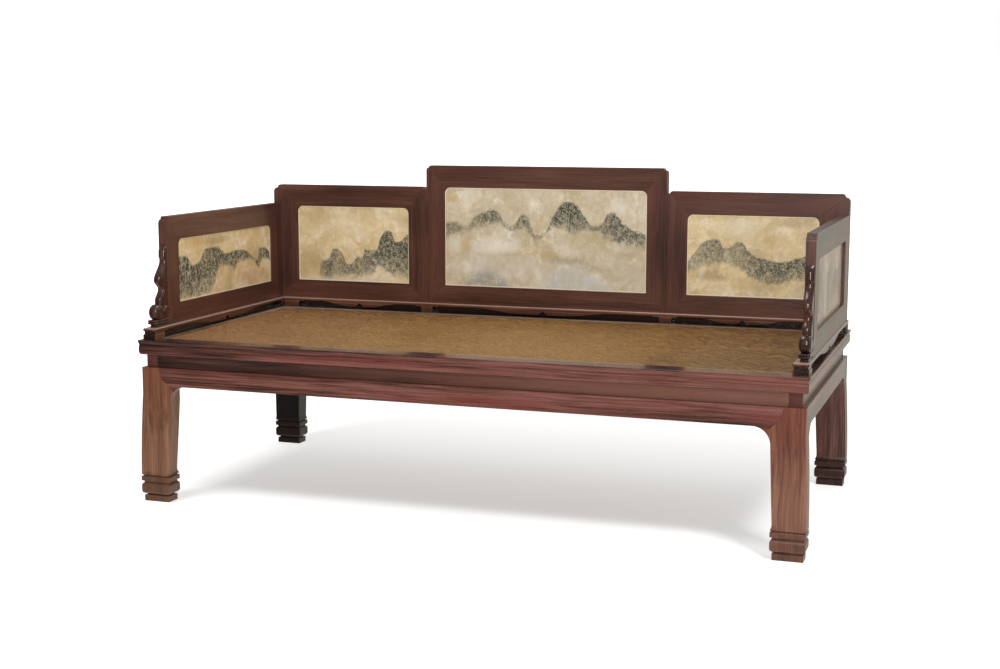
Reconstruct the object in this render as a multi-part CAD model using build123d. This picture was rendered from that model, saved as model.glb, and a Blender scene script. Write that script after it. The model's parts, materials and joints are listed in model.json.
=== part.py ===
from build123d import *
import os

os.makedirs("parts", exist_ok=True)

# Luohan daybed. Millimetres: +X to the sitter's left along the bed, -Y is the open front, +Z up.
# The origin is on the floor under the middle of the bed.

# ---------------------------------------------------------------- driving dimensions
SEAT_WIDTH = 2000.0
SEAT_DEPTH = 938.0
SEAT_HEIGHT = 494.5

# Mitred seat frame
RAIL_HEIGHT = 44.5
FRONT_RAIL_WIDTH = 70.0
REAR_RAIL_WIDTH = 82.0
END_RAIL_WIDTH = 60.0
EDGE_TOP_ROUND = 2.5
EDGE_LIP_HEIGHT = 4.0
EDGE_COVE_DEPTH = 4.5
EDGE_COVE_BOTTOM = 16.5
EDGE_STEP = 3.0
EDGE_LEDGE_DROP = 1.5
EDGE_UNDER_WIDTH = 9.0
EDGE_UNDER_HEIGHT = 14.0
CORNER_EASE = 5.0
FRAME_TENON_WIDTH = 26.0
FRAME_TENON_HEIGHT = 9.0
FRAME_TENON_LENGTH = 42.0
FRAME_TENON_SET_IN = 4.0

# Woven seat, laid in a rebate and held by strips
REBATE_WIDTH = 16.0
WEBBING_THICKNESS = 3.0
MAT_THICKNESS = 2.5
MAT_EDGE_THICKNESS = 2.0
STRIP_THICKNESS = 3.7
STRIP_WIDTH = 14.0
BEARER_COUNT = 3
BEARER_WIDTH = 42.0
BEARER_HEIGHT = 34.0
BEARER_SAG = 12.0
BEARER_TENON_WIDTH = 24.0
BEARER_TENON_HEIGHT = 14.0
BEARER_TENON_LENGTH = 22.0

# Waist and aprons
WAIST_HEIGHT = 38.0
WAIST_SET_IN = 12.0
WAIST_THICKNESS = 15.0
APRON_HEIGHT = 55.0
APRON_THICKNESS = 30.0
APRON_ARCH_RADIUS = 50.0
APRON_TOP_ROUND = 3.0
MITRE_ANGLE = 45
SHOULDER_REACH = 33.0
SHOULDER_KNEE_REACH = 24.0
SHOULDER_KNEE_DROP = 34.0

# Legs
LEG_WIDTH = 91.5
LEG_DEPTH = 60.5
LEG_SPLAY = 8.5
LEG_LIP_REACH = 5.0
LEG_LIP_HEIGHT = 16.0
LEG_EDGE_ROUND = 2.5
FOOT_WIDTH = 95.0
FOOT_DEPTH = 62.0
POST_SIDE = 36.0
POST_TENON_SIDE = 22.0
POST_TENON_LENGTH = 16.0

# Foot mouldings, from the floor up
PAD_HEIGHT = 18.0
PAD_INSET = 6.0
GROOVE_HEIGHT = 4.0
GROOVE_INSET = 12.5
CUSHION_HEIGHT = 36.5
CUSHION_ROUND = 11.0
RING_HEIGHT = 15.5
RING_ROUND = 3.0
RING_GROOVE_INSET = 5.5

# Screens
SCREEN_THICKNESS = 27.6
BACK_REAR_SETBACK = 32.2
SIDE_OUTER_SETBACK = 10.8
CENTRE_SCREEN_WIDTH = 830.0
CENTRE_SCREEN_TOP = 993.3
OUTER_SCREEN_TOP = 921.0
SIDE_SCREEN_TOP = 857.5
SIDE_SCREEN_FRONT_SETBACK = 121.0
STILE_WIDTH = 67.0
CORNER_STILE_WIDTH = 92.0
SIDE_FRONT_STILE_WIDTH = 70.0
SIDE_REAR_STILE_WIDTH = 81.0
TOP_RAIL_WIDTH = 73.0
BOTTOM_RAIL_WIDTH = 62.0
OPENING_CORNER_RADIUS = 19.0
OPENING_CHAMFER = 1.6
CENTRE_CORNER_CUT = 16.0
OUTER_CORNER_CUT = 25.0
OUTER_INNER_CORNER_CUT = 15.0
SIDE_CORNER_CUT = 22.0
SCREEN_TENON_THICKNESS = 9.0
SCREEN_TENON_WIDTH = 26.0
SCREEN_TENON_LENGTH = 44.0
SCREEN_TENON_WALL = 1.5

# Marble
MARBLE_THICKNESS = 13.0
MARBLE_FRONT_RECESS = 4.0
MARBLE_TONGUE = 8.0

# Cusped sills under the screens
SILL_HEIGHT = 33.5
SILL_PROJECTION = 8.5
SIDE_SILL_PROJECTION = 12.6
SILL_BACK_PROJECTION = 4.5
SIDE_SILL_FRONT_SETBACK = 25.0
SILL_BEAD_HEIGHT = 10.0
SILL_SKIRT_INSET = 3.0
SILL_FOOT = 19.0
SILL_WEB_THICKNESS = 5.0
SILL_ARCH_RISE = 23.0
SILL_LIP_DROP = 4.0
SILL_LIP_WIDTH = 16.0
SILL_CROWN_SHARE = 0.66
SILL_FLAT_SHARE = 0.12
SILL_CUSP_HALF_WIDTH = 15.5
SILL_CUSP_HEIGHT = 21.5
SILL_SKIRT_GAP = 8.0
SILL_BLOCK_LENGTH = 52.0
SILL_BLOCK_BAND = 15.0

# Locating keys: pins down into the seat frame, and dovetails between the screens
PIN_WIDTH = 11.0
PIN_THICKNESS = 13.0
PIN_DEPTH = 15.0
PIN_RISE = 20.0
DOVETAIL_NECK = 8.0
DOVETAIL_HEAD = 12.0
DOVETAIL_DEPTH = 9.0
DOVETAIL_HEIGHT = 30.0
DOVETAIL_ROOT = 13.0
DOVETAIL_ABOVE_SILL = 110.0

# Carved brackets in front of the side screens
BRACKET_THICKNESS = 25.0
BRACKET_HEIGHT = 245.0
CUSP_REACH = 13.0
CUSP_DROP = 38.0
CUSP_NOTCH = 5.0
CUSP_NOTCH_DROP = 48.0
SWELL_REACH = 43.5
SWELL_DROP = 107.0
WAIST_REACH = 22.0
WAIST_DROP = 136.0
HEEL_REACH = 41.0
DRUM_RADIUS = 24.0
DRUM_THICKNESS = 33.0
DRUM_ROUND = 12.0
DRUM_REACH = 48.0
DRUM_SINK = 2.0
ROLL_RADIUS = 18.0
ROLL_REACH = 9.0
ROLL_ROUND = 6.0
COLLAR_HEIGHT = 13.0
COLLAR_REACH = 76.0
COLLAR_ROUND = 5.0
NECK_HEIGHT = 8.0
NECK_INSET = 5.0

# Clearances
LIFT_TRAVEL = 32.0
FIT = 0.3
LIFT_FIT = 0.4

# ---------------------------------------------------------------- derived levels and planes
RAIL_BOTTOM = SEAT_HEIGHT - RAIL_HEIGHT
APRON_TOP = RAIL_BOTTOM - WAIST_HEIGHT
APRON_BOTTOM = APRON_TOP - APRON_HEIGHT
HALF_W = SEAT_WIDTH / 2
HALF_D = SEAT_DEPTH / 2
OPENING_LEFT = -HALF_W + END_RAIL_WIDTH
OPENING_FRONT = -HALF_D + FRONT_RAIL_WIDTH
OPENING_REAR = HALF_D - REAR_RAIL_WIDTH
SILL_TOP = SEAT_HEIGHT + SILL_HEIGHT
BACK_FACE = HALF_D - BACK_REAR_SETBACK - SCREEN_THICKNESS
SIDE_OUTER = HALF_W - SIDE_OUTER_SETBACK
SIDE_INNER = SIDE_OUTER - SCREEN_THICKNESS
SIDE_FRONT = -HALF_D + SIDE_SCREEN_FRONT_SETBACK
SIDE_REAR = BACK_FACE - FIT
OUTER_INNER_EDGE = CENTRE_SCREEN_WIDTH / 2
ANKLE = PAD_HEIGHT + 2 * GROOVE_HEIGHT + CUSHION_HEIGHT + RING_HEIGHT + GROOVE_HEIGHT


def save(solid, name):
    """Write one sub-part, which is one solid or a group of separate ones."""
    solid.label = name
    export_step(solid, f"parts/{name}.step")


def block(x0, x1, y0, y1, z0, z1):
    """A box between two opposite corners."""
    centre = ((x0 + x1) / 2, (y0 + y1) / 2, (z0 + z1) / 2)
    return Pos(*centre) * Box(abs(x1 - x0), abs(y1 - y0), abs(z1 - z0))


def prism_xz(sketch, y0, y1):
    """A sketch drawn with X across and Z up, carried from y0 to y1."""
    return Pos(0, y0, 0) * extrude(Plane.XZ * sketch, amount=y1 - y0, dir=(0, 1, 0))


def prism_yz(sketch, x0, x1):
    """A sketch drawn with Y across and Z up, carried from x0 to x1."""
    return Pos(x0, 0, 0) * extrude(Plane.YZ * sketch, amount=x1 - x0, dir=(1, 0, 0))


def prism_xy(sketch, z0, z1):
    """A plan sketch carried from z0 up to z1."""
    return Pos(0, 0, z0) * extrude(sketch, amount=z1 - z0, dir=(0, 0, 1))


def outline(points):
    """A closed sketch through corner points, in the order given."""
    return make_face(Polyline(*points, close=True))


def group(solids):
    """Separate solids kept in one sub-part."""
    return Compound(children=list(solids))


def one_solid(shape):
    """The single solid of a finished piece."""
    return shape.solids().sort_by(SortBy.VOLUME)[-1]


# ---------------------------------------------------------------- seat frame
def edge_profile(half):
    """Section across the seat frame out to +-half: a rounded lip, a cove that ends on a narrow ledge, and a
    band below it that curves under."""
    z_round = SEAT_HEIGHT - EDGE_TOP_ROUND
    z_cove = SEAT_HEIGHT - EDGE_LIP_HEIGHT
    z_cove_end = SEAT_HEIGHT - EDGE_COVE_BOTTOM
    z_band = z_cove_end - EDGE_LEDGE_DROP
    z_under = RAIL_BOTTOM + EDGE_UNDER_HEIGHT
    edges = []
    for side in (-1, 1):
        x_edge = side * half
        x_cove = side * (half - EDGE_COVE_DEPTH)
        x_band = side * (half - EDGE_STEP)
        x_top = side * (half - EDGE_TOP_ROUND)
        x_under = side * (half - EDGE_STEP - EDGE_UNDER_WIDTH)
        z_middle = (z_cove + z_cove_end) / 2
        edges += [
            Spline((x_top, SEAT_HEIGHT), (x_edge, z_round), tangents=[(side, 0), (0, -1)]),
            Line((x_edge, z_round), (x_edge, z_cove)),
            ThreePointArc((x_edge, z_cove), (x_cove + side * EDGE_STEP / 3, z_middle), (x_cove, z_cove_end)),
            Line((x_cove, z_cove_end), (x_band, z_band)),
            Line((x_band, z_band), (x_band, z_under)),
            Spline((x_band, z_under), (x_under, RAIL_BOTTOM), tangents=[(0, -1), (-side, 0)]),
        ]
    x_top = half - EDGE_TOP_ROUND
    x_under = half - EDGE_STEP - EDGE_UNDER_WIDTH
    edges.append(Line((-x_top, SEAT_HEIGHT), (x_top, SEAT_HEIGHT)))
    edges.append(Line((-x_under, RAIL_BOTTOM), (x_under, RAIL_BOTTOM)))
    return make_face(edges)


def edge_moulded_slab():
    """The whole seat frame as one slab with the same moulding on its four sides."""
    along = prism_yz(edge_profile(HALF_D), -HALF_W - 1, HALF_W + 1)
    across = prism_xz(edge_profile(HALF_W), -HALF_D - 1, HALF_D + 1)
    eased = RectangleRounded(SEAT_WIDTH, SEAT_DEPTH, CORNER_EASE)
    return along & across & prism_xy(eased, RAIL_BOTTOM - 1, SEAT_HEIGHT + 1)


def rail_plans():
    """Plan outlines of the four rails, split on the mitres from outer corner to opening corner."""
    outer = [(-HALF_W, -HALF_D), (HALF_W, -HALF_D), (HALF_W, HALF_D), (-HALF_W, HALF_D)]
    inner = [
        (OPENING_LEFT, OPENING_FRONT),
        (-OPENING_LEFT, OPENING_FRONT),
        (-OPENING_LEFT, OPENING_REAR),
        (OPENING_LEFT, OPENING_REAR),
    ]
    names = ["front_rail", "right_end_rail", "rear_rail", "left_end_rail"]
    plans = {}
    for i, name in enumerate(names):
        j = (i + 1) % len(names)
        plans[name] = outline([outer[i], outer[j], inner[j], inner[i]])
    return plans


REBATE_DEPTH = WEBBING_THICKNESS + MAT_EDGE_THICKNESS + STRIP_THICKNESS + FIT
REBATE_FLOOR = SEAT_HEIGHT - REBATE_DEPTH
FRAME_TENON_BOTTOM = RAIL_BOTTOM + POST_TENON_LENGTH + 2 * FIT


def seat_opening(grow, z0, z1):
    """The rectangular hole of the seat, grown evenly outwards, between two levels."""
    left = OPENING_LEFT - grow
    return block(left, -left, OPENING_FRONT - grow, OPENING_REAR + grow, z0, z1)


def frame_tenon(side, y_inner, outward, clearance):
    """Blind tenon of a long rail, reaching past its mitre into an end rail."""
    x_start = side * (-OPENING_LEFT - FRAME_TENON_WIDTH)
    x_end = side * (-OPENING_LEFT + FRAME_TENON_LENGTH + clearance)
    y_near = y_inner + outward * (FRAME_TENON_SET_IN - clearance)
    y_far = y_inner + outward * (FRAME_TENON_SET_IN + FRAME_TENON_WIDTH + clearance)
    z0 = FRAME_TENON_BOTTOM - clearance
    z1 = FRAME_TENON_BOTTOM + FRAME_TENON_HEIGHT + clearance
    return block(x_start, x_end, y_near, y_far, z0, z1)


def frame_tenons(clearance):
    """The four rail tenons, or their mortises."""
    tenons = []
    for side in (-1, 1):
        tenons.append(frame_tenon(side, OPENING_FRONT, -1, clearance))
        tenons.append(frame_tenon(side, OPENING_REAR, 1, clearance))
    return tenons


def bearer_positions():
    """Middles of the cross bearers along the bed."""
    spacing = -2 * OPENING_LEFT / (BEARER_COUNT + 1)
    return [OPENING_LEFT + spacing * (i + 1) for i in range(BEARER_COUNT)]


def bearer(x, clearance=0.0):
    """A bearer bowed down under the sitter, with a tenon at each end."""
    top = REBATE_FLOOR
    bottom = top - BEARER_HEIGHT
    middle = (OPENING_FRONT + OPENING_REAR) / 2
    upper_edge = ThreePointArc(
        (OPENING_FRONT, top), (middle, top - BEARER_SAG), (OPENING_REAR, top)
    )
    lower_edge = ThreePointArc(
        (OPENING_FRONT, bottom), (middle, bottom - BEARER_SAG), (OPENING_REAR, bottom)
    )
    ends = [
        Line((OPENING_FRONT, top), (OPENING_FRONT, bottom)),
        Line((OPENING_REAR, top), (OPENING_REAR, bottom)),
    ]
    half = BEARER_WIDTH / 2
    bar = prism_yz(make_face([upper_edge, lower_edge, *ends]), x - half, x + half)
    return bar + bearer_tenons(x, clearance)


def bearer_tenons(x, clearance):
    """Both end tenons of a bearer as one bar, or the mortises for them."""
    half = BEARER_TENON_WIDTH / 2 + clearance
    reach = BEARER_TENON_LENGTH + clearance
    z_mid = REBATE_FLOOR - BEARER_HEIGHT / 2
    rise = BEARER_TENON_HEIGHT / 2 + clearance
    front = block(
        x - half, x + half, OPENING_FRONT - reach, OPENING_FRONT + reach, z_mid - rise, z_mid + rise
    )
    rear = block(
        x - half, x + half, OPENING_REAR - reach, OPENING_REAR + reach, z_mid - rise, z_mid + rise
    )
    return front + rear


# ---------------------------------------------------------------- keys and pins
SCREEN_MID = SCREEN_THICKNESS / 2
BACK_MID = BACK_FACE + SCREEN_MID
SIDE_MID = SIDE_INNER + SCREEN_MID
SIDE_SILL_REAR = BACK_FACE - SILL_PROJECTION - FIT
SIDE_SILL_FRONT = -HALF_D + SIDE_SILL_FRONT_SETBACK
KEY_BOTTOM = SILL_TOP + DOVETAIL_ABOVE_SILL
FOOT_PIN = SILL_FOOT / 2


def pin(x, y, clearance=0.0):
    """A locating pin through a sill foot, down into the seat frame and up into the screen."""
    half_x = PIN_WIDTH / 2 + clearance
    half_y = PIN_THICKNESS / 2 + clearance
    z0 = SEAT_HEIGHT - PIN_DEPTH - clearance
    z1 = SILL_TOP + PIN_RISE + clearance
    return block(x - half_x, x + half_x, y - half_y, y + half_y, z0, z1)


def pin_places():
    """Middles of the pins of each screen, in plan."""
    corner_foot = SIDE_OUTER - CORNER_STILE_WIDTH + FOOT_PIN
    front_pin = SIDE_FRONT - DRUM_REACH - PIN_WIDTH / 2
    rear_pin = SIDE_SILL_REAR - FOOT_PIN
    edge = OUTER_INNER_EDGE
    return {
        "centre_back": [(-edge + FOOT_PIN, BACK_MID), (edge - FOOT_PIN, BACK_MID)],
        "left_back": [(-edge - FOOT_PIN, BACK_MID), (-corner_foot, BACK_MID)],
        "right_back": [(edge + FOOT_PIN, BACK_MID), (corner_foot, BACK_MID)],
        "left_side": [(-SIDE_MID, front_pin), (-SIDE_MID, rear_pin)],
        "right_side": [(SIDE_MID, front_pin), (SIDE_MID, rear_pin)],
    }


def pin_mortises(names, clearance):
    """Holes for the pins of the named screens."""
    places = pin_places()
    return [pin(x, y, clearance) for name in names for x, y in places[name]]


def dovetail_plan(clearance):
    """Dovetail that leaves a stile edge at x = 0 and widens towards +X."""
    neck = DOVETAIL_NECK / 2 + clearance
    head = DOVETAIL_HEAD / 2 + clearance
    depth = DOVETAIL_DEPTH + clearance
    return outline([(0, -neck), (depth, -head), (depth, head), (0, neck)])


def dovetail_key(place):
    """A loose dovetail key: a plain root in the lifting screen and a head in its neighbour."""
    root = block(
        -DOVETAIL_ROOT, 0, -DOVETAIL_NECK / 2, DOVETAIL_NECK / 2, KEY_BOTTOM, KEY_BOTTOM + DOVETAIL_HEIGHT
    )
    head = prism_xy(dovetail_plan(0), KEY_BOTTOM, KEY_BOTTOM + DOVETAIL_HEIGHT)
    return place * (root + head)


def root_mortise(place):
    """Mortise for a key's root."""
    half = DOVETAIL_NECK / 2 + FIT
    z0 = KEY_BOTTOM - FIT
    z1 = KEY_BOTTOM + DOVETAIL_HEIGHT + FIT
    return place * block(-DOVETAIL_ROOT - FIT, LIFT_FIT, -half, half, z0, z1)


def lift_slot(place):
    """Slot for a key's head: dovetailed where it rests, and wide above so the lifted head can leave."""
    z0 = KEY_BOTTOM - LIFT_FIT
    z_wide = KEY_BOTTOM + DOVETAIL_HEIGHT + LIFT_FIT
    z1 = z_wide + LIFT_TRAVEL + LIFT_FIT
    half = DOVETAIL_HEAD / 2 + LIFT_FIT
    narrow = prism_xy(dovetail_plan(LIFT_FIT), z0, z_wide)
    wide = block(0, DOVETAIL_DEPTH + LIFT_FIT, -half, half, z_wide, z1)
    return place * (narrow + wide)


CENTRE_KEY_PLACES = [
    Pos(OUTER_INNER_EDGE, BACK_MID, 0),
    Pos(-OUTER_INNER_EDGE, BACK_MID, 0) * Rot(0, 0, 180),
]
RIGHT_SIDE_KEY_PLACE = Pos(SIDE_MID, SIDE_REAR, 0) * Rot(0, 0, 90)


# ---------------------------------------------------------------- building the seat
def build_rails():
    """The four rails, with mortises for tenons, posts, bearers and pins."""
    slab = edge_moulded_slab() - seat_opening(0, RAIL_BOTTOM - 1, SEAT_HEIGHT + 1)
    slab = slab - seat_opening(REBATE_WIDTH, REBATE_FLOOR, SEAT_HEIGHT + 1)
    slab = slab - pin_mortises(pin_places(), LIFT_FIT)
    slab = slab - [post_tenon(sx, sy, FIT) for sx in (-1, 1) for sy in (-1, 1)]
    slab = slab - [bearer_tenons(x, FIT) for x in bearer_positions()]
    for name, plan in rail_plans().items():
        rail = slab & prism_xy(plan, RAIL_BOTTOM - 1, SEAT_HEIGHT + 1)
        if name == "front_rail":
            rail = rail + frame_tenons(0)[0::2]
        elif name == "rear_rail":
            rail = rail + frame_tenons(0)[1::2]
        else:
            rail = rail - frame_tenons(FIT)
        save(one_solid(rail), name)


def build_woven_seat():
    """Palm webbing, the cane mat over it, and the strips that press its edge down in the rebate."""
    z_mat = REBATE_FLOOR + WEBBING_THICKNESS
    z_strip = z_mat + MAT_EDGE_THICKNESS
    reach = REBATE_WIDTH - FIT
    save(seat_opening(reach, REBATE_FLOOR, z_mat), "palm_webbing")
    field = seat_opening(reach - STRIP_WIDTH - FIT, z_mat, z_mat + MAT_THICKNESS)
    save(seat_opening(reach, z_mat, z_strip) + field, "woven_cane_mat")
    strips = seat_opening(reach, z_strip, z_strip + STRIP_THICKNESS)
    strips = strips - seat_opening(reach - STRIP_WIDTH, z_strip - 1, SEAT_HEIGHT + 1)
    low = prism_xy(mitre_plan(reach, reach - STRIP_WIDTH), z_strip - 1, SEAT_HEIGHT + 1)
    long_strips = strips & low
    end_strips = strips - low
    save(group([*long_strips.solids(), *end_strips.solids()]), "mat_pressing_strips")


def mitre_plan(outer_grow, inner_grow):
    """Front and rear strips in plan, mitred at the corners of the seat opening."""
    faces = []
    for y_edge, outward in ((OPENING_FRONT, -1), (OPENING_REAR, 1)):
        y_outer = y_edge + outward * outer_grow
        y_inner = y_edge + outward * inner_grow
        x_outer = -OPENING_LEFT + outer_grow
        x_inner = -OPENING_LEFT + inner_grow
        faces.append(
            outline([(-x_outer, y_outer), (x_outer, y_outer), (x_inner, y_inner), (-x_inner, y_inner)])
        )
    return faces[0] + faces[1]


def build_bearers():
    """Bowed bearers that carry the webbing."""
    for i, x in enumerate(bearer_positions()):
        save(one_solid(bearer(x)), f"seat_bearer_{i + 1}")


# ---------------------------------------------------------------- legs, aprons and waist
APRON_X = HALF_W - LEG_SPLAY
APRON_Y = HALF_D - LEG_SPLAY
WAIST_X = APRON_X - WAIST_SET_IN
WAIST_Y = APRON_Y - WAIST_SET_IN
LEG_INNER_X = APRON_X - LEG_WIDTH
LEG_INNER_Y = APRON_Y - LEG_DEPTH


def post_tenon(side_x, side_y, clearance):
    """Square tenon on a leg's post, or its mortise in the seat frame."""
    x = side_x * (WAIST_X - POST_SIDE / 2)
    y = side_y * (WAIST_Y - POST_SIDE / 2)
    half = POST_TENON_SIDE / 2 + clearance
    top = RAIL_BOTTOM + POST_TENON_LENGTH + clearance
    return block(x - half, x + half, y - half, y + half, RAIL_BOTTOM - POST_TENON_SIDE, top)


def apron_outline(inner):
    """An apron between two legs whose inner faces are at +-inner: shouldered ends and rounded corners."""
    arch_x = inner - APRON_ARCH_RADIUS
    arch_z = APRON_BOTTOM - APRON_ARCH_RADIUS
    edges = []
    for side in (-1, 1):
        arc = CenterArc((side * arch_x, arch_z), APRON_ARCH_RADIUS, 90, -side * MITRE_ANGLE)
        tip = arc @ 1
        knee = (side * (inner + SHOULDER_KNEE_REACH), APRON_TOP - SHOULDER_KNEE_DROP)
        head = (side * (inner + SHOULDER_REACH), APRON_TOP)
        edges += [arc, Line(tip, knee), Line(knee, head)]
    reach = inner + SHOULDER_REACH
    edges.append(Line((-reach, APRON_TOP), (reach, APRON_TOP)))
    edges.append(Line((-arch_x, APRON_BOTTOM), (arch_x, APRON_BOTTOM)))
    return make_face(edges)


def haunch_outline(inner):
    """The rest of the corner curve below the shoulder, which belongs to the leg at +inner."""
    radius = APRON_ARCH_RADIUS
    half = radius / 2
    root = SHOULDER_KNEE_REACH
    corner = Pos(inner - half, APRON_BOTTOM - half) * Rectangle(radius, radius)
    corner = corner - Pos(inner - radius, APRON_BOTTOM - radius) * Circle(radius)
    corner = corner + Pos(inner + root / 2, APRON_BOTTOM - half) * Rectangle(root, radius)
    return corner - apron_outline(inner)


def shaft_outline(outer_top, outer_foot, inner, inner_foot):
    """Side view of a leg from ankle to apron top: flush with the apron above, splayed below, with a
    lip that flares inwards over the foot."""
    top = APRON_TOP
    spring = APRON_BOTTOM - APRON_ARCH_RADIUS
    lip_top = ANKLE + LEG_LIP_HEIGHT
    splay_top = APRON_BOTTOM - APRON_ARCH_RADIUS / 2
    middle = (ANKLE + splay_top) / 2
    outer_mid = (outer_top + 2 * outer_foot) / 3
    above_lip = inner_foot + LEG_LIP_REACH
    edges = [
        Line((outer_top, top), (outer_top, splay_top)),
        ThreePointArc((outer_top, splay_top), (outer_mid, middle), (outer_foot, ANKLE)),
        Line((outer_foot, ANKLE), (inner_foot, ANKLE)),
        Spline((inner_foot, ANKLE), (above_lip, lip_top), tangents=[(1, 1), (0, 1)]),
        Line((above_lip, lip_top), (inner, spring)),
        Line((inner, spring), (inner, top)),
        Line((inner, top), (outer_top, top)),
    ]
    return make_face(edges)


def foot_course(z0, height, inset, rounding):
    """One moulding of a foot: a block around the leg's section, set in or rounded."""
    x_inner = HALF_W - FOOT_WIDTH + inset
    y_inner = -HALF_D + FOOT_DEPTH - inset
    course = block(x_inner, HALF_W - inset, -HALF_D + inset, y_inner, z0, z0 + height)
    if rounding > 0:
        level_edges = course.edges().filter_by(Axis.Z, reverse=True)
        course = fillet(level_edges, rounding)
    return course


def leg_foot():
    """Stacked mouldings: pad, groove, swelling cushion, groove, ring and groove."""
    courses = [
        (PAD_HEIGHT, PAD_INSET, 0),
        (GROOVE_HEIGHT, GROOVE_INSET, 0),
        (CUSHION_HEIGHT, 0, CUSHION_ROUND),
        (GROOVE_HEIGHT, RING_GROOVE_INSET, 0),
        (RING_HEIGHT, 0, RING_ROUND),
        (GROOVE_HEIGHT, RING_GROOVE_INSET, 0),
    ]
    z = 0.0
    foot = []
    for height, inset, rounding in courses:
        foot.append(foot_course(z, height, inset, rounding))
        z += height
    return foot


def front_right_leg():
    """The leg at +X and -Y: shaft, haunches for both aprons, post and tenon."""
    front_view = shaft_outline(APRON_X, HALF_W, LEG_INNER_X, HALF_W - FOOT_WIDTH)
    side_view = shaft_outline(APRON_Y, HALF_D, LEG_INNER_Y, HALF_D - FOOT_DEPTH)
    shaft = prism_xz(front_view, -HALF_D - 1, 0) & prism_yz(mirror(side_view, Plane.YZ), 0, HALF_W + 1)
    upright_edges = shaft.edges().filter_by(lambda edge: edge.length > LEG_WIDTH + LEG_DEPTH)
    outermost = upright_edges.sort_by(lambda edge: edge.center().X - edge.center().Y)[-1]
    shaft = fillet(outermost, LEG_EDGE_ROUND)
    shaft = shaft - apron_solid("front") - apron_solid("right")
    front_haunch = prism_xz(haunch_outline(LEG_INNER_X), -APRON_Y, -APRON_Y + APRON_THICKNESS)
    side_haunch = mirror(haunch_outline(LEG_INNER_Y), Plane.YZ)
    side_haunch = prism_yz(side_haunch, APRON_X - APRON_THICKNESS, APRON_X)
    post = block(
        WAIST_X - POST_SIDE, WAIST_X, -WAIST_Y, -WAIST_Y + POST_SIDE, APRON_TOP, RAIL_BOTTOM
    )
    leg = shaft + front_haunch + side_haunch + post + post_tenon(1, -1, 0)
    for course in leg_foot():
        leg = leg + course
    return one_solid(leg)


def apron_solid(side):
    """The apron on one side of the bed, where the leg faces are."""
    if side == "front":
        return prism_xz(apron_outline(LEG_INNER_X), -APRON_Y, -APRON_Y + APRON_THICKNESS)
    return prism_yz(apron_outline(LEG_INNER_Y), APRON_X - APRON_THICKNESS, APRON_X)


def build_legs():
    """Four legs, mirrored from one."""
    leg = front_right_leg()
    rear = mirror(leg, Plane.XZ)
    save(leg, "front_right_leg")
    save(mirror(leg, Plane.YZ), "front_left_leg")
    save(rear, "rear_right_leg")
    save(mirror(rear, Plane.YZ), "rear_left_leg")


def build_aprons():
    """Aprons with a softened top outer edge, mirrored from front to rear and right to left."""
    front = apron_solid("front")
    front = fillet(front.edges().group_by(Axis.Z)[-1].sort_by(Axis.Y)[0], APRON_TOP_ROUND)
    right = apron_solid("right")
    right = fillet(right.edges().group_by(Axis.Z)[-1].sort_by(Axis.X)[-1], APRON_TOP_ROUND)
    save(one_solid(front), "front_apron")
    save(one_solid(mirror(front, Plane.XZ)), "rear_apron")
    save(one_solid(right), "right_apron")
    save(one_solid(mirror(right, Plane.YZ)), "left_apron")


def build_waist():
    """Waist boards between the leg posts."""
    x_end = WAIST_X - POST_SIDE
    y_end = WAIST_Y - POST_SIDE
    front = block(-x_end, x_end, -WAIST_Y, -WAIST_Y + WAIST_THICKNESS, APRON_TOP, RAIL_BOTTOM)
    right = block(WAIST_X - WAIST_THICKNESS, WAIST_X, -y_end, y_end, APRON_TOP, RAIL_BOTTOM)
    save(front, "front_waist")
    save(mirror(front, Plane.XZ), "rear_waist")
    save(right, "right_waist")
    save(mirror(right, Plane.YZ), "left_waist")


# ---------------------------------------------------------------- screens
def corner_cut(size):
    """What a stepped corner loses: a square less two convex lobes, with its tip at the origin."""
    step = 0.4 * size
    rest = size - step
    square = Pos(-size / 2, -size / 2) * Rectangle(size, size)
    lobes = Pos(-size, -step) * Circle(step) + Pos(-rest, -size) * Circle(rest)
    filling = Pos(-size + step / 2, -step - rest / 2) * Rectangle(step, rest)
    return square - lobes - filling


def screen_opening(x0, x1, z0, z1):
    """The marble opening: square below, rounded above."""
    opening = Pos((x0 + x1) / 2, (z0 + z1) / 2) * Rectangle(x1 - x0, z1 - z0)
    return fillet(opening.vertices().group_by(Axis.Y)[-1], OPENING_CORNER_RADIUS)


def rail_tenons(x0, x1, z_low, clearance):
    """Both blind tenons of one screen rail, as a pair of blocks at its ends."""
    reach = SCREEN_TENON_LENGTH + clearance
    y0 = SCREEN_MID - SCREEN_TENON_THICKNESS / 2 - clearance
    y1 = SCREEN_MID + SCREEN_TENON_THICKNESS / 2 + clearance
    z0 = z_low - clearance
    z1 = z_low + SCREEN_TENON_WIDTH + clearance
    left = block(x0 - reach, x0 + FIT, y0, y1, z0, z1)
    right = block(x1 - FIT, x1 + reach, y0, y1, z0, z1)
    return [left, right]


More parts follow.
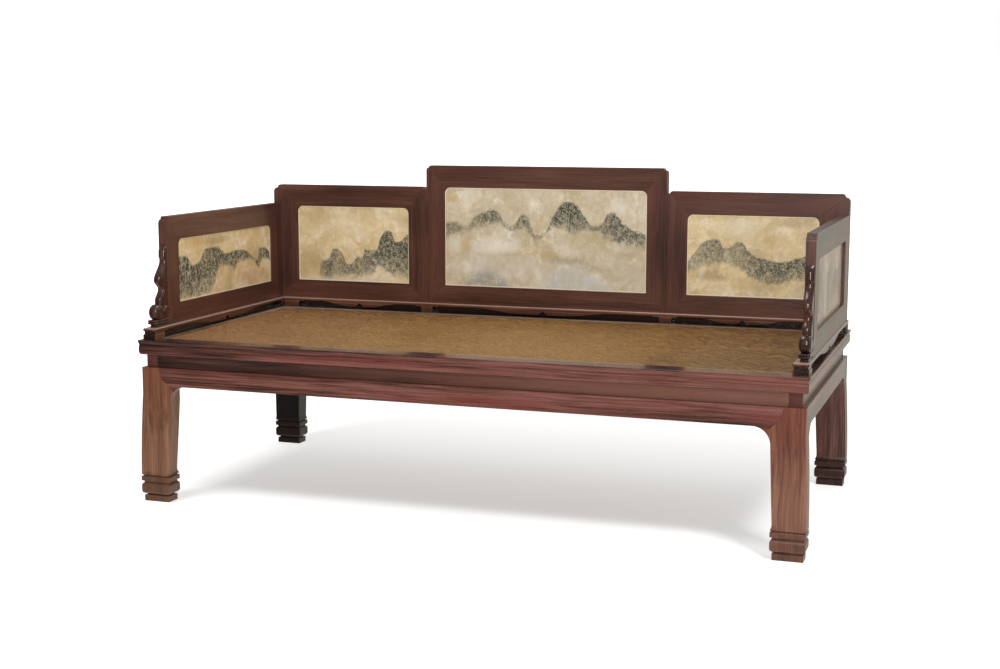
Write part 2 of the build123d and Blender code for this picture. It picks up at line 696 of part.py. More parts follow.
def screen_pieces(width, height, left_stile, right_stile, left_cut, right_cut):
    """Mitred frame and marble of one screen: x from 0 to width, front face at y = 0, z from 0 up."""
    x0 = left_stile
    x1 = width - right_stile
    z0 = BOTTOM_RAIL_WIDTH
    z1 = height - TOP_RAIL_WIDTH
    face = Pos(width / 2, height / 2) * Rectangle(width, height)
    if left_cut > 0:
        face = face - Pos(0, height) * mirror(corner_cut(left_cut), Plane.YZ)
    if right_cut > 0:
        face = face - Pos(width, height) * corner_cut(right_cut)
    ring = prism_xz(face - screen_opening(x0, x1, z0, z1), 0, SCREEN_THICKNESS)
    front_face = ring.faces().sort_by(Axis.Y)[0]
    ring = chamfer(front_face.inner_wires()[0].edges(), OPENING_CHAMFER)
    groove = MARBLE_TONGUE + FIT
    y_marble = MARBLE_FRONT_RECESS
    y_behind = MARBLE_FRONT_RECESS + MARBLE_THICKNESS
    ring = ring - block(x0 - groove, x1 + groove, y_marble - FIT, y_behind + FIT, z0 - groove, z1 + groove)

    left_tip = (x0 + OPENING_CORNER_RADIUS, z1 - OPENING_CORNER_RADIUS)
    right_tip = (x1 - OPENING_CORNER_RADIUS, z1 - OPENING_CORNER_RADIUS)
    plans = {
        "left_stile": [(0, 0), (x0, z0), left_tip, (x0, z1), (0, height)],
        "right_stile": [(width, 0), (x1, z0), right_tip, (x1, z1), (width, height)],
        "top_rail": [(0, height), (x0, z1), left_tip, right_tip, (x1, z1), (width, height)],
        "bottom_rail": [(0, 0), (x0, z0), (x1, z0), (width, 0)],
    }
    z_tenon_top = z1 + groove + SCREEN_TENON_WALL
    z_tenon_bottom = z0 - groove - SCREEN_TENON_WALL - SCREEN_TENON_WIDTH
    pieces = {}
    for name, points in plans.items():
        piece = ring & prism_xz(outline(points), -1, SCREEN_THICKNESS + 1)
        if name == "top_rail":
            piece = piece + rail_tenons(x0, x1, z_tenon_top, 0)
        elif name == "bottom_rail":
            piece = piece + rail_tenons(x0, x1, z_tenon_bottom, 0)
        else:
            piece = piece - rail_tenons(x0, x1, z_tenon_top, FIT)
            piece = piece - rail_tenons(x0, x1, z_tenon_bottom, FIT)
        pieces[name] = piece
    tongue = MARBLE_TONGUE
    pieces["marble"] = block(x0 - tongue, x1 + tongue, y_marble, y_behind, z0 - tongue, z1 + tongue)
    return pieces


# ---------------------------------------------------------------- cusped sills
def arch_edges(x_foot, x_centre):
    """Underside of half a sill: up a foot with a small lobe, along under the bead, down in an S to a low
    edge, and up into the middle notch."""
    side = 1 if x_centre > x_foot else -1
    half = abs(x_centre - x_foot)
    x_lip = x_foot + side * SILL_LIP_WIDTH
    x_crown = x_lip + side * SILL_LIP_WIDTH / 2
    x_bend = x_centre - side * half * SILL_CROWN_SHARE
    x_flat = x_centre - side * half * SILL_FLAT_SHARE
    x_tip = x_centre - side * SILL_CUSP_HALF_WIDTH
    pull = (x_flat - x_bend) / 2
    rise = SILL_ARCH_RISE
    lip = rise - SILL_LIP_DROP
    lobe_root = lip - SILL_LIP_DROP
    gap = SILL_SKIRT_GAP
    x_lobe = x_foot + side * SILL_LIP_WIDTH * 0.4
    return [
        Line((x_foot, 0), (x_foot, lobe_root)),
        ThreePointArc((x_foot, lobe_root), (x_lobe, (lip + rise) / 2), (x_lip, lip)),
        Line((x_lip, lip), (x_crown, rise)),
        Line((x_crown, rise), (x_bend, rise)),
        Bezier((x_bend, rise), (x_bend + pull, rise), (x_flat - pull, gap), (x_flat, gap)),
        Line((x_flat, gap), (x_tip, gap)),
        Line((x_tip, gap), (x_centre, SILL_CUSP_HEIGHT)),
    ]


def sill_solid(length, depth, left_foot, right_foot, centre, web_back, block_end=False):
    """A sill lying along x from 0 to length: bead on top, cusped skirt below, feet at the ends, and a web
    that closes the arches, whose rear face is web_back from the front."""
    right = length - right_foot
    edges = arch_edges(left_foot, centre) + arch_edges(right, centre)
    start = SILL_SKIRT_INSET if block_end else 0.0
    skirt_top = SILL_HEIGHT - SILL_BEAD_HEIGHT / 2
    edges += [
        Line((start, 0), (left_foot, 0)),
        Line((right, 0), (length, 0)),
        Line((length, 0), (length, skirt_top)),
        Line((length, skirt_top), (start, skirt_top)),
        Line((start, skirt_top), (start, 0)),
    ]
    skirt = prism_xz(make_face(edges), SILL_SKIRT_INSET, depth - SILL_SKIRT_INSET)
    bead = block(0, length, 0, depth, SILL_HEIGHT - SILL_BEAD_HEIGHT, SILL_HEIGHT)
    rounded = bead.edges().filter_by(Axis.X)
    if block_end:
        rounded = rounded + bead.faces().sort_by(Axis.X)[0].edges().filter_by(Axis.Y)
    bead = fillet(rounded, SILL_BEAD_HEIGHT * 0.42)
    web = block(left_foot - 1, right + 1, web_back - SILL_WEB_THICKNESS, web_back, 0, skirt_top)
    sill = skirt + web + bead
    if block_end:
        band = block(0, left_foot, 0, depth, 0, SILL_BLOCK_BAND)
        top_edges = band.faces().sort_by(Axis.Z)[-1].edges().sort_by(Axis.X)[:-1]
        sill = sill + fillet(top_edges, SILL_SKIRT_INSET)
    return sill


# ---------------------------------------------------------------- brackets
def drum_at(x, z, radius, rounding):
    """A short drum lying across a bracket, with rounded rims."""
    drum = Pos(x, 0, z) * Rot(90, 0, 0) * Cylinder(radius, DRUM_THICKNESS)
    return fillet(drum.edges().filter_by(GeomType.CIRCLE), rounding)


def bracket():
    """A carved bracket: x is how far it stands out, z is height above the sill, y its thickness."""
    height = BRACKET_HEIGHT
    drum_z = NECK_HEIGHT + COLLAR_HEIGHT + DRUM_RADIUS - DRUM_SINK
    upper_cusp = (CUSP_REACH, height - CUSP_DROP)
    under_cusp = (CUSP_REACH - CUSP_NOTCH, height - CUSP_NOTCH_DROP)
    swell = (SWELL_REACH, height - SWELL_DROP)
    waist = (WAIST_REACH, height - WAIST_DROP)
    heel = (HEEL_REACH, drum_z + DRUM_RADIUS / 2)
    edges = [
        Spline((0, height), upper_cusp, tangents=[(1, -1), (0.2, -1)]),
        Spline(upper_cusp, under_cusp, tangents=[(-0.6, -1), (0, -1)]),
        Spline(under_cusp, swell, waist, tangents=[(0.1, -1), (0, -1), (-1, -0.8)]),
        Spline(waist, heel, tangents=[(1, -0.4), (0.1, -1)]),
        Line(heel, (DRUM_REACH, drum_z)),
        Line((DRUM_REACH, drum_z), (DRUM_REACH, DRUM_RADIUS)),
        Line((DRUM_REACH, DRUM_RADIUS), (DRUM_REACH, 0)),
        Line((DRUM_REACH, 0), (0, 0)),
        Line((0, 0), (0, height)),
    ]
    half = BRACKET_THICKNESS / 2
    plate = prism_xz(make_face(edges), -half, half)
    drum = drum_at(DRUM_REACH, drum_z, DRUM_RADIUS, DRUM_ROUND)
    collar_half = DRUM_THICKNESS / 2
    roll = drum_at(ROLL_REACH, drum_z, ROLL_RADIUS, ROLL_ROUND)
    roll = roll & block(0, DRUM_REACH, -collar_half, collar_half, 0, height)
    collar_top = NECK_HEIGHT + COLLAR_HEIGHT
    collar = block(0, COLLAR_REACH, -collar_half, collar_half, NECK_HEIGHT, collar_top)
    level_edges = collar.edges().filter_by(Axis.Z, reverse=True).sort_by(Axis.X)
    collar = fillet(level_edges[2:], COLLAR_ROUND)
    neck_half = collar_half - NECK_INSET
    neck = block(0, COLLAR_REACH - NECK_INSET * 1.5, -neck_half, neck_half, 0, NECK_HEIGHT * 2)
    return plate + drum + roll + collar + neck


# ---------------------------------------------------------------- placing screens, sills and keys
def mirrored(shape):
    """The same piece on the other side of the bed."""
    return mirror(shape, Plane.YZ)


def place_screen(pieces, place, cutters, names):
    """The pieces of one screen in their place on the bed, with mortises and slots cut."""
    placed = {}
    for piece_name, piece in pieces.items():
        solid = place * piece
        if piece_name != "marble":
            solid = solid - cutters
        placed[names.get(piece_name, piece_name)] = one_solid(solid)
    return placed


def build_centre_back():
    """The tall middle screen, its sill, keys and pins."""
    width = CENTRE_SCREEN_WIDTH - 2 * FIT
    pieces = screen_pieces(
        width, CENTRE_SCREEN_TOP - SILL_TOP, STILE_WIDTH - FIT, STILE_WIDTH - FIT,
        CENTRE_CORNER_CUT, CENTRE_CORNER_CUT,
    )
    left = -OUTER_INNER_EDGE + FIT
    cutters = [root_mortise(place) for place in CENTRE_KEY_PLACES] + pin_mortises(["centre_back"], FIT)
    for name, solid in place_screen(pieces, Pos(left, BACK_FACE, SILL_TOP), cutters, {}).items():
        save(solid, f"centre_back_{name}")
    depth = SILL_PROJECTION + SCREEN_THICKNESS + SILL_BACK_PROJECTION
    sill = sill_solid(width, depth, SILL_FOOT, SILL_FOOT, width / 2, depth - SILL_SKIRT_INSET)
    sill = Pos(left, BACK_FACE - SILL_PROJECTION, SEAT_HEIGHT) * sill
    save(one_solid(sill - pin_mortises(["centre_back"], FIT)), "centre_back_sill")
    keys = [dovetail_key(place) for place in CENTRE_KEY_PLACES]
    keys += [pin(x, y) for x, y in pin_places()["centre_back"]]
    save(group(keys), "centre_back_keys")


def build_outer_backs():
    """The lower back screens at both sides, with slots for the neighbours' keys."""
    width = SIDE_OUTER - OUTER_INNER_EDGE
    height = OUTER_SCREEN_TOP - SILL_TOP
    stiles = (STILE_WIDTH, CORNER_STILE_WIDTH)
    pieces = screen_pieces(width, height, *stiles, OUTER_INNER_CORNER_CUT, OUTER_CORNER_CUT)
    place = Pos(OUTER_INNER_EDGE, BACK_FACE, SILL_TOP)
    cutters = pin_mortises(["right_back"], FIT)
    cutters += [lift_slot(CENTRE_KEY_PLACES[0]), lift_slot(RIGHT_SIDE_KEY_PLACE * Pos(FIT, 0, 0))]
    names = {"left_stile": "inner_stile", "right_stile": "corner_stile"}
    sill_depth = SILL_PROJECTION + SCREEN_THICKNESS + SILL_BACK_PROJECTION
    sill_length = width + SILL_BACK_PROJECTION
    arch_end = width - CORNER_STILE_WIDTH + SILL_FOOT
    centre = arch_end / 2
    right_foot = sill_length - arch_end + SILL_FOOT
    web_back = sill_depth - SILL_SKIRT_INSET
    sill = sill_solid(sill_length, sill_depth, SILL_FOOT, right_foot, centre, web_back)
    sill = Pos(OUTER_INNER_EDGE, BACK_FACE - SILL_PROJECTION, SEAT_HEIGHT) * sill
    sill = one_solid(sill - pin_mortises(["right_back"], FIT))
    for name, solid in place_screen(pieces, place, cutters, names).items():
        save(solid, f"right_back_{name}")
        save(mirrored(solid), f"left_back_{name}")
    save(sill, "right_back_sill")
    save(mirrored(sill), "left_back_sill")
    for side in ("left", "right"):
        pins = [pin(x, y) for x, y in pin_places()[f"{side}_back"]]
        save(group(pins), f"{side}_back_pins")


def build_sides():
    """The side screens with sills and front brackets, made at the right and mirrored to the left."""
    width = SIDE_REAR - SIDE_FRONT
    pieces = screen_pieces(
        width, SIDE_SCREEN_TOP - SILL_TOP, SIDE_FRONT_STILE_WIDTH, SIDE_REAR_STILE_WIDTH, SIDE_CORNER_CUT, 0
    )
    turn = Rot(0, 0, 90)
    place = Pos(-SIDE_INNER, SIDE_FRONT, SILL_TOP) * turn
    left_key_place = Pos(-SIDE_MID, SIDE_REAR, 0) * turn
    cutters = [root_mortise(left_key_place)] + pin_mortises(["left_side"], FIT)
    names = {"left_stile": "front_stile", "right_stile": "rear_stile"}
    for name, solid in place_screen(pieces, place, cutters, names).items():
        save(solid, f"left_side_{name}")
        save(mirrored(solid), f"right_side_{name}")

    length = SIDE_SILL_REAR - SIDE_SILL_FRONT
    depth = SIDE_SILL_PROJECTION + SCREEN_THICKNESS + SILL_BACK_PROJECTION
    centre = (SILL_BLOCK_LENGTH + length - SILL_FOOT) / 2
    web_back = (depth + SILL_WEB_THICKNESS) / 2
    sill = sill_solid(length, depth, SILL_BLOCK_LENGTH, SILL_FOOT, centre, web_back, block_end=True)
    sill = Pos(-SIDE_INNER + SIDE_SILL_PROJECTION, SIDE_SILL_FRONT, SEAT_HEIGHT) * turn * sill
    sill = one_solid(sill - pin_mortises(["left_side"], FIT))
    save(sill, "left_side_sill")
    save(mirrored(sill), "right_side_sill")

    carved = Pos(-SIDE_MID, SIDE_FRONT, SILL_TOP) * Rot(0, 0, -90) * bracket()
    carved = one_solid(carved - pin_mortises(["left_side"], FIT))
    save(carved, "left_side_bracket")
    save(mirrored(carved), "right_side_bracket")

    for side, where in (("left", left_key_place), ("right", RIGHT_SIDE_KEY_PLACE)):
        keys = [dovetail_key(where)]
        keys += [pin(x, y) for x, y in pin_places()[f"{side}_side"]]
        save(group(keys), f"{side}_side_keys")


build_rails()
build_woven_seat()
build_bearers()
build_legs()
build_aprons()
build_waist()
build_centre_back()
build_outer_backs()
build_sides()
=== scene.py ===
import json
import math

import bmesh
import bpy
import numpy as np
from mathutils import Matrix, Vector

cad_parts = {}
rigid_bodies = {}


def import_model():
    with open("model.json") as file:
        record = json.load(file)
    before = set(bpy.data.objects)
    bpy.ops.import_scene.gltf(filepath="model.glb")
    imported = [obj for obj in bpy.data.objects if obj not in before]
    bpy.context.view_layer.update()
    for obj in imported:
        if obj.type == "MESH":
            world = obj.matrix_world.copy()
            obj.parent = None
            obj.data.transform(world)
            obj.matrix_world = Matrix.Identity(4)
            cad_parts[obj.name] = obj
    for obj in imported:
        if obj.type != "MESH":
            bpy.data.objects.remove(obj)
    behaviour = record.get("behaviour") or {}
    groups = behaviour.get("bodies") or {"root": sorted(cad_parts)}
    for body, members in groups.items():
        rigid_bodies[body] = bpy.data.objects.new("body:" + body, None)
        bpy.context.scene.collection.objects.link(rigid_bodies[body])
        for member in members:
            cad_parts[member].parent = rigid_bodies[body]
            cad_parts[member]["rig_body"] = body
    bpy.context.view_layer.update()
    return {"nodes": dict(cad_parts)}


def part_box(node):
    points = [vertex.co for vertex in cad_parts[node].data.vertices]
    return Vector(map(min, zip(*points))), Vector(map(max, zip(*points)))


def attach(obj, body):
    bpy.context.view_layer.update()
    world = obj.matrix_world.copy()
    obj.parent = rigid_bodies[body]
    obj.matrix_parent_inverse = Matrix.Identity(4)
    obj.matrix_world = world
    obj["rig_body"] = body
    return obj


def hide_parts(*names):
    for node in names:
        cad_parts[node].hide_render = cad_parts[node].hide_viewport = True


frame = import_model()

# Luohan daybed in oiled rosewood, with five marble-panelled screens and a woven cane seat.
# Metres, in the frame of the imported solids: +X right, -Y open front, +Z up, floor at z = 0.

X, Y, Z = 0, 1, 2
MM = 0.001
MERGE = 0.02 * MM
FLAT = math.radians(0.4)
ARRIS = math.radians(28)
CREASE = math.radians(38)
WAIST_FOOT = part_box("front_waist")[0].z
SEAT_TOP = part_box("front_rail")[1].z
SILL_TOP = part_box("centre_back_sill")[1].z


# ---------------------------------------------------------------- meshes
def quads(rows, columns, round_columns=False):
    """Faces between neighbouring points of a grid; round columns join their last point to their first."""
    i = np.arange(rows - 1)
    j = np.arange(columns if round_columns else columns - 1)
    i, j = np.meshgrid(i, j, indexing="ij")
    i2, j2 = i + 1, (j + 1) % columns
    corners = [i * columns + j, i2 * columns + j, i2 * columns + j2, i * columns + j2]
    return np.stack(corners, -1).reshape(-1, 4)


def mesh_object(name, points, faces):
    """A smooth-shaded object at the origin from arrays of points and faces."""
    mesh = bpy.data.meshes.new(name)
    mesh.from_pydata(np.asarray(points).reshape(-1, 3).tolist(), [], [list(f) for f in faces])
    mesh.validate()
    mesh.shade_smooth()
    piece = bpy.data.objects.new(name, mesh)
    bpy.context.scene.collection.objects.link(piece)
    return piece


def closed_shells(name, stacks):
    """One piece from stacks of rings (rows, columns, 3); each stack is closed by a fan at both ends.

    All normals are worked out again at the end, so the order of a ring's points doesn't matter.
    """
    points, faces, base = [], [], 0
    for rings in stacks:
        rows, columns = rings.shape[:2]
        ends = [rings[0].mean(0), rings[-1].mean(0)]
        points.append(np.concatenate([rings.reshape(-1, 3), ends]))
        j = np.arange(columns)
        k = (j + 1) % columns
        last = (rows - 1) * columns
        first_fan = np.stack([k, j, np.full(columns, rows * columns)], -1)
        last_fan = np.stack([last + j, last + k, np.full(columns, rows * columns + 1)], -1)
        for block in (quads(rows, columns, True), first_fan, last_fan):
            faces += (block + base).tolist()
        base += rows * columns + 2
    piece = mesh_object(name, np.concatenate(points), faces)
    skin = bmesh.new()
    skin.from_mesh(piece.data)
    bmesh.ops.remove_doubles(skin, verts=skin.verts, dist=MERGE / 2)
    bmesh.ops.recalc_face_normals(skin, faces=skin.faces)
    skin.to_mesh(piece.data)
    skin.free()
    piece.data.shade_smooth()
    piece.data.set_sharp_from_angle(angle=CREASE)
    return piece


def body_of(node):
    """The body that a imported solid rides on."""
    return frame["nodes"][node]["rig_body"]


def stand_for(piece, node, material):
    """Puts a finish on a piece and lets it take a solid's place on the same body."""
    piece.data.materials.clear()
    piece.data.materials.append(material)
    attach(piece, body_of(node))
    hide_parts(node)


def finished(node, material):
    """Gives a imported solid, shown as it is, its finish."""
    slot = frame["nodes"][node].material_slots[0]
    slot.link = "OBJECT"
    slot.material = material


def merged_copy(node, name):
    """A solid's own surface as one skin: doubles merged and flat triangles joined into whole faces."""
    data = frame["nodes"][node].data
    points = np.zeros(len(data.vertices) * 3)
    data.vertices.foreach_get("co", points)
    corners = np.zeros(len(data.polygons) * 3, np.int64)
    data.polygons.foreach_get("vertices", corners)
    piece = mesh_object(name, points, corners.reshape(-1, 3).tolist())
    skin = bmesh.new()
    skin.from_mesh(piece.data)
    bmesh.ops.remove_doubles(skin, verts=skin.verts, dist=MERGE)
    bmesh.ops.dissolve_limit(skin, angle_limit=FLAT, verts=skin.verts, edges=skin.edges)
    skin.to_mesh(piece.data)
    skin.free()
    piece.data.shade_smooth()
    return piece


def eased(node, material, width):
    """A solid with every arris rounded over by hand-plane easing, and flat faces kept flat in shading."""
    piece = merged_copy(node, node + "_wood")
    bevel = piece.modifiers.new("easing", "BEVEL")
    bevel.limit_method = "ANGLE"
    bevel.angle_limit = ARRIS
    bevel.width = width
    bevel.segments = 3
    bevel.use_clamp_overlap = True
    normals = piece.modifiers.new("flat faces", "WEIGHTED_NORMAL")
    normals.weight = 50
    normals.keep_sharp = False
    stand_for(piece, node, material)


# ---------------------------------------------------------------- carved brackets
BRACKET_HALF = 12.5 * MM
BRACKET_NOSE = 8.5 * MM
# Drops below the bracket's top and its reach from the screen there, in millimetres.
BRACKET_EDGE = ((0, 1.5), (22, 12), (37, 13), (47, 8), (107, 43.5), (136, 22), (168, 41), (200, 42))
# Reach, radius, half width and rim of the ball at the heel and of the roll beside the screen.
BALL = (48 * MM, 24 * MM, 16.5 * MM, 12 * MM)
ROLL = (9 * MM, 18 * MM, 16.5 * MM, 7 * MM)
BALL_HEIGHT = 43 * MM
COLLAR_FOOT = 8 * MM
COLLAR_TOP = 21 * MM
COLLAR_HALF = 16.5 * MM
COLLAR_REACH = 76 * MM
COLLAR_ROUND = 5 * MM
BEADS = 1.999
BEAD_DEPTH = 3.4 * MM
NECK_HALF = 13.5 * MM
NECK_REACH = 70 * MM
NECK_ROUND = 4 * MM
NECK_HOLLOW = 3 * MM


def swelling(drops, stations):
    """Reach of a bracket at each drop below its top: half a cosine wave between neighbouring stations."""
    at, reach = np.array(stations).T * MM
    i = np.clip(np.searchsorted(at, drops) - 1, 0, len(at) - 2)
    t = np.clip((drops - at[i]) / (at[i + 1] - at[i]), 0.0, 1.0)
    return reach[i] + (reach[i + 1] - reach[i]) * (1 - np.cos(math.pi * t)) / 2


def nosed_rings(levels, half, reach, round_x, round_y, corner=9):
    """Rings of a tongue that stands out along -Y from y = 0: straight sides, then a quarter ellipse at
    each front corner, x = half - rx + rx sin a and y = -(reach - ry + ry cos a)."""
    half, reach, round_x, round_y = (
        np.broadcast_to(v, levels.shape)[:, None] for v in (half, reach, round_x, round_y)
    )
    a = np.linspace(math.pi / 2, 0.0, corner)[None, :]
    x = half - round_x + round_x * np.sin(a)
    y = -(reach - round_y + round_y * np.cos(a))
    side = np.zeros_like(half)
    xs = np.concatenate([half, x, -x[:, ::-1], -half], 1)
    ys = np.concatenate([side, y, y[:, ::-1], side], 1)
    zs = np.broadcast_to(levels[:, None], xs.shape)
    return np.stack([xs, ys, zs], -1)


def cross_roll(reach, radius, half, rim, height, around=40, rows=19):
    """A short roll lying across a bracket: at x its radius is R - rim (1 - sqrt(1 - u^2)), where u goes
    from 0 to 1 over the rim."""
    x = half * np.sin(np.linspace(-math.pi / 2, math.pi / 2, rows))
    u = np.clip((np.abs(x) - (half - rim)) / rim, 0.0, 1.0)
    radii = radius - rim * (1 - np.sqrt(1 - u * u))
    a = np.linspace(0.0, 2 * math.pi, around, endpoint=False)[None, :]
    y = -reach + radii[:, None] * np.cos(a)
    z = height + radii[:, None] * np.sin(a)
    return np.stack([np.broadcast_to(x[:, None], y.shape), y, z], -1)


def beaded_collar():
    """Two beads one over the other, each set in by B (1 - sqrt(1 - w^2)), with w from -1 to 1 up it."""
    levels = np.linspace(COLLAR_FOOT, COLLAR_TOP, 27)
    rise = (levels - COLLAR_FOOT) / (COLLAR_TOP - COLLAR_FOOT)
    w = 2 * np.mod(rise * BEADS, 1.0) - 1
    inset = BEAD_DEPTH * (1 - np.sqrt(1 - w * w))
    return nosed_rings(levels, COLLAR_HALF - inset, COLLAR_REACH - inset, COLLAR_ROUND, COLLAR_ROUND)


def hollow_neck():
    """The neck under the collar, hollowed by half a sine wave."""
    levels = np.linspace(0.0, COLLAR_FOOT, 9)
    hollow = NECK_HOLLOW * np.sin(math.pi * levels / COLLAR_FOOT)
    return nosed_rings(levels, NECK_HALF - hollow, NECK_REACH - hollow, NECK_ROUND, NECK_ROUND)


def bracket(node, material):
    """A carved bracket in one piece: a tongue with a half-round edge, a ball and a roll across it, and a
    collar of two beads over a hollow neck."""
    low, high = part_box(node)
    height = high.z - low.z
    levels = np.linspace(COLLAR_TOP - 2 * MM, height, 110)
    reach = swelling(height - levels, BRACKET_EDGE)
    nose = np.minimum(BRACKET_NOSE, reach * 0.9)
    tongue = nosed_rings(levels, BRACKET_HALF, reach, BRACKET_HALF, nose)
    ball = cross_roll(*BALL, BALL_HEIGHT)
    roll = cross_roll(*ROLL, BALL_HEIGHT)
    place = np.array([(low.x + high.x) / 2, high.y, low.z])
    stacks = [rings + place for rings in (tongue, ball, roll, beaded_collar(), hollow_neck())]
    stand_for(closed_shells(node + "_carving", stacks), node, material)


# ---------------------------------------------------------------- woven seat
SAG = 6 * MM
SWELL = 0.45 * MM
MAT_THICKNESS = 2 * MM
WEBBING_THICKNESS = 3 * MM
MAT_EDGE_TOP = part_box("mat_pressing_strips")[0].z
SEAT_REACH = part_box("right_end_rail")[0].x
SEAT_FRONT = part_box("front_rail")[1].y
SEAT_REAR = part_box("rear_rail")[0].y


def seat_hang(x, y):
    """How far the weave hangs at a place: SAG (1 - u^4)(1 - v^2), u and v from -1 to 1 over the opening,
    with slow swells under a millimetre where the strands have slackened."""
    u = np.clip(x / SEAT_REACH, -1, 1)
    v = np.clip((2 * y - SEAT_FRONT - SEAT_REAR) / (SEAT_REAR - SEAT_FRONT), -1, 1)
    swell = SWELL * np.sin(7.3 * x + 2.1 * y) * np.sin(9.7 * y - 3.1 * x + 0.6)
    return (1 - u**4) * (1 - v**2) * (SAG + swell)


def woven(node, name, top, thickness, material):
    """A woven layer over its solid's plan: one smooth grid at top - hang, given its thickness downwards."""
    rows, columns = 81, 161
    low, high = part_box(node)
    y, x = np.meshgrid(np.linspace(low.y, high.y, rows), np.linspace(low.x, high.x, columns), indexing="ij")
    points = np.stack([x, y, top - seat_hang(x, y)], -1)
    piece = mesh_object(name, points, quads(rows, columns)[:, ::-1])
    wall = piece.modifiers.new("thickness", "SOLIDIFY")
    wall.thickness = thickness
    wall.offset = -1.0
    stand_for(piece, node, material)


# ---------------------------------------------------------------- shader values
class Value:
    """One shader output. Arithmetic on it adds Math nodes, with plain numbers on either side."""

    def __init__(self, finish, socket):
        self.finish = finish
        self.socket = socket

    def math(self, operation, *others):
        """The value after a Math node."""
        inputs = dict(enumerate((self,) + others))
        return self.finish.add("Math", {"operation": operation}, inputs)

    def __add__(self, other):
        return self.math("ADD", other)

    def __sub__(self, other):
        return self.math("SUBTRACT", other)

    def __mul__(self, other):
        return self.math("MULTIPLY", other)

    def __truediv__(self, other):
        return self.math("DIVIDE", other)

    def __mod__(self, other):
        return self.math("FLOORED_MODULO", other)

    def __radd__(self, other):
        return self.math("ADD", other)

    def __rmul__(self, other):
        return self.math("MULTIPLY", other)

    def __rsub__(self, other):
        return self.finish.add("Math", {"operation": "SUBTRACT"}, {0: other, 1: self})

    def least(self, other):
        return self.math("MINIMUM", other)

    def most(self, other):
        return self.math("MAXIMUM", other)

    def size(self):
        return self.math("ABSOLUTE")

    def step(self, low, high, start=0.0, end=1.0):
        """A soft step from start to end as the value goes from low to high."""
        inputs = {"Value": self, "From Min": low, "From Max": high, "To Min": start, "To Max": end}
        return self.finish.add("MapRange", {"interpolation_type": "SMOOTHSTEP"}, inputs)


class Finish:
    """Nodes in the making, on a material or on the studio's air; add() puts in any node."""

    def __init__(self, owner):
        self.owner = owner
        owner.use_nodes = True
        self.tree = owner.node_tree
        self.tree.nodes.clear()
        self.place = self.add("TexCoord", out="Object")

    def add(self, kind, settings=None, inputs=None, out=0):
        """A node of one kind: its settings first, then its sockets' links or numbers; returns one output."""
        node = self.tree.nodes.new("ShaderNode" + kind)
        for key, setting in (settings or {}).items():
            if key == "stops":
                set_stops(node.color_ramp, setting)
            elif key == "curve":
                set_curve(node.mapping, setting)
            else:
                setattr(node, key, setting)
        for key, value in (inputs or {}).items():
            if isinstance(value, Value):
                self.tree.links.new(value.socket, node.inputs[key])
            else:
                node.inputs[key].default_value = value
        return None if out is None else Value(self, node.outputs[out])

    def axes(self, vector=None):
        """The three numbers of a vector."""
        node = self.add("SeparateXYZ", inputs={0: vector or self.place})
        return [Value(self, node.socket.node.outputs[i]) for i in range(3)]

    def point(self, x, y, z=0.0):
        """A vector from three numbers."""
        return self.add("CombineXYZ", inputs={0: x, 1: y, 2: z})

    def scaled(self, vector, factors, shift=(0.0, 0.0, 0.0)):
        """A vector drawn out or squeezed along each axis, then moved."""
        settings = {"operation": "MULTIPLY_ADD"}
        return self.add("VectorMath", settings, {0: vector, 1: factors, 2: shift})

    def noise(self, vector, scale, detail=2.0, rough=0.5, bend=0.0, out=0):
        """Soft noise from about 0 to 1."""
        inputs = {"Vector": vector, "Scale": scale, "Detail": detail, "Roughness": rough, "Distortion": bend}
        return self.add("TexNoise", {}, inputs, out)

    def wander(self, vector, scale, amount, detail=2.0):
        """A vector pushed about by a colour noise, by up to half the amount each way."""
        push = self.noise(vector, scale, detail, out=1)
        half = -0.5 * amount
        push = self.scaled(push, (amount,) * 3, (half,) * 3)
        return self.add("VectorMath", {"operation": "ADD"}, {0: vector, 1: push})

    def mix(self, share, first, second, blend="MIX"):
        """Two colours mixed by a share."""
        settings = {"data_type": "RGBA", "blend_type": blend}
        return self.add("Mix", settings, {0: share, 6: first, 7: second}, 2)

    def ramp(self, value, stops):
        """A colour read off a ramp."""
        return self.add("ValToRGB", {"stops": stops}, {0: value})

    def curve(self, value, points):
        """A number read off a smooth curve through points from 0 to 1."""
        return self.add("FloatCurve", {"curve": points}, {"Factor": 1.0, "Value": value})

    def relief(self, height, depth, strength=1.0):
        """A normal from a height from 0 to 1, so many metres deep."""
        return self.add("Bump", {}, {"Height": height, "Distance": depth, "Strength": strength}, "Normal")

    def surface(self, **sockets):
        """Ends the material with one shader; the names are its sockets' with spaces as underscores."""
        inputs = {key.replace("_", " "): value for key, value in sockets.items()}
        shader = self.add("BsdfPrincipled", {}, inputs)
        self.add("OutputMaterial", {}, {"Surface": shader}, None)
        return self.owner


def set_stops(ramp, stops):
    """Puts positions and colours on a colour ramp."""
    while len(ramp.elements) < len(stops):
        ramp.elements.new(0.5)
    for element, (position, colour) in zip(ramp.elements, stops):
        element.position = position
        element.color = colour


def set_curve(mapping, points):
    """Puts points on a number curve."""
    line = mapping.curves[0]
    while len(line.points) < len(points):
        line.points.new(0.5, 0.5)
    for point, (position, height) in zip(line.points, points):
        point.location = (position, height)
        point.handle_type = "AUTO_CLAMPED"
    mapping.update()


def new_finish(name):
    """A fresh material in the making."""
    return Finish(bpy.data.materials.new(name))


def tone(code, share=1.0):
    """A colour from its six-figure screen code, in linear light, with its brightness scaled."""
    parts = [int(code[i:i + 2], 16) / 255 for i in (0, 2, 4)]
    linear = [c / 12.92 if c <= 0.04045 else ((c + 0.055) / 1.055) ** 2.4 for c in parts]
    return (*[c * share for c in linear], 1.0)


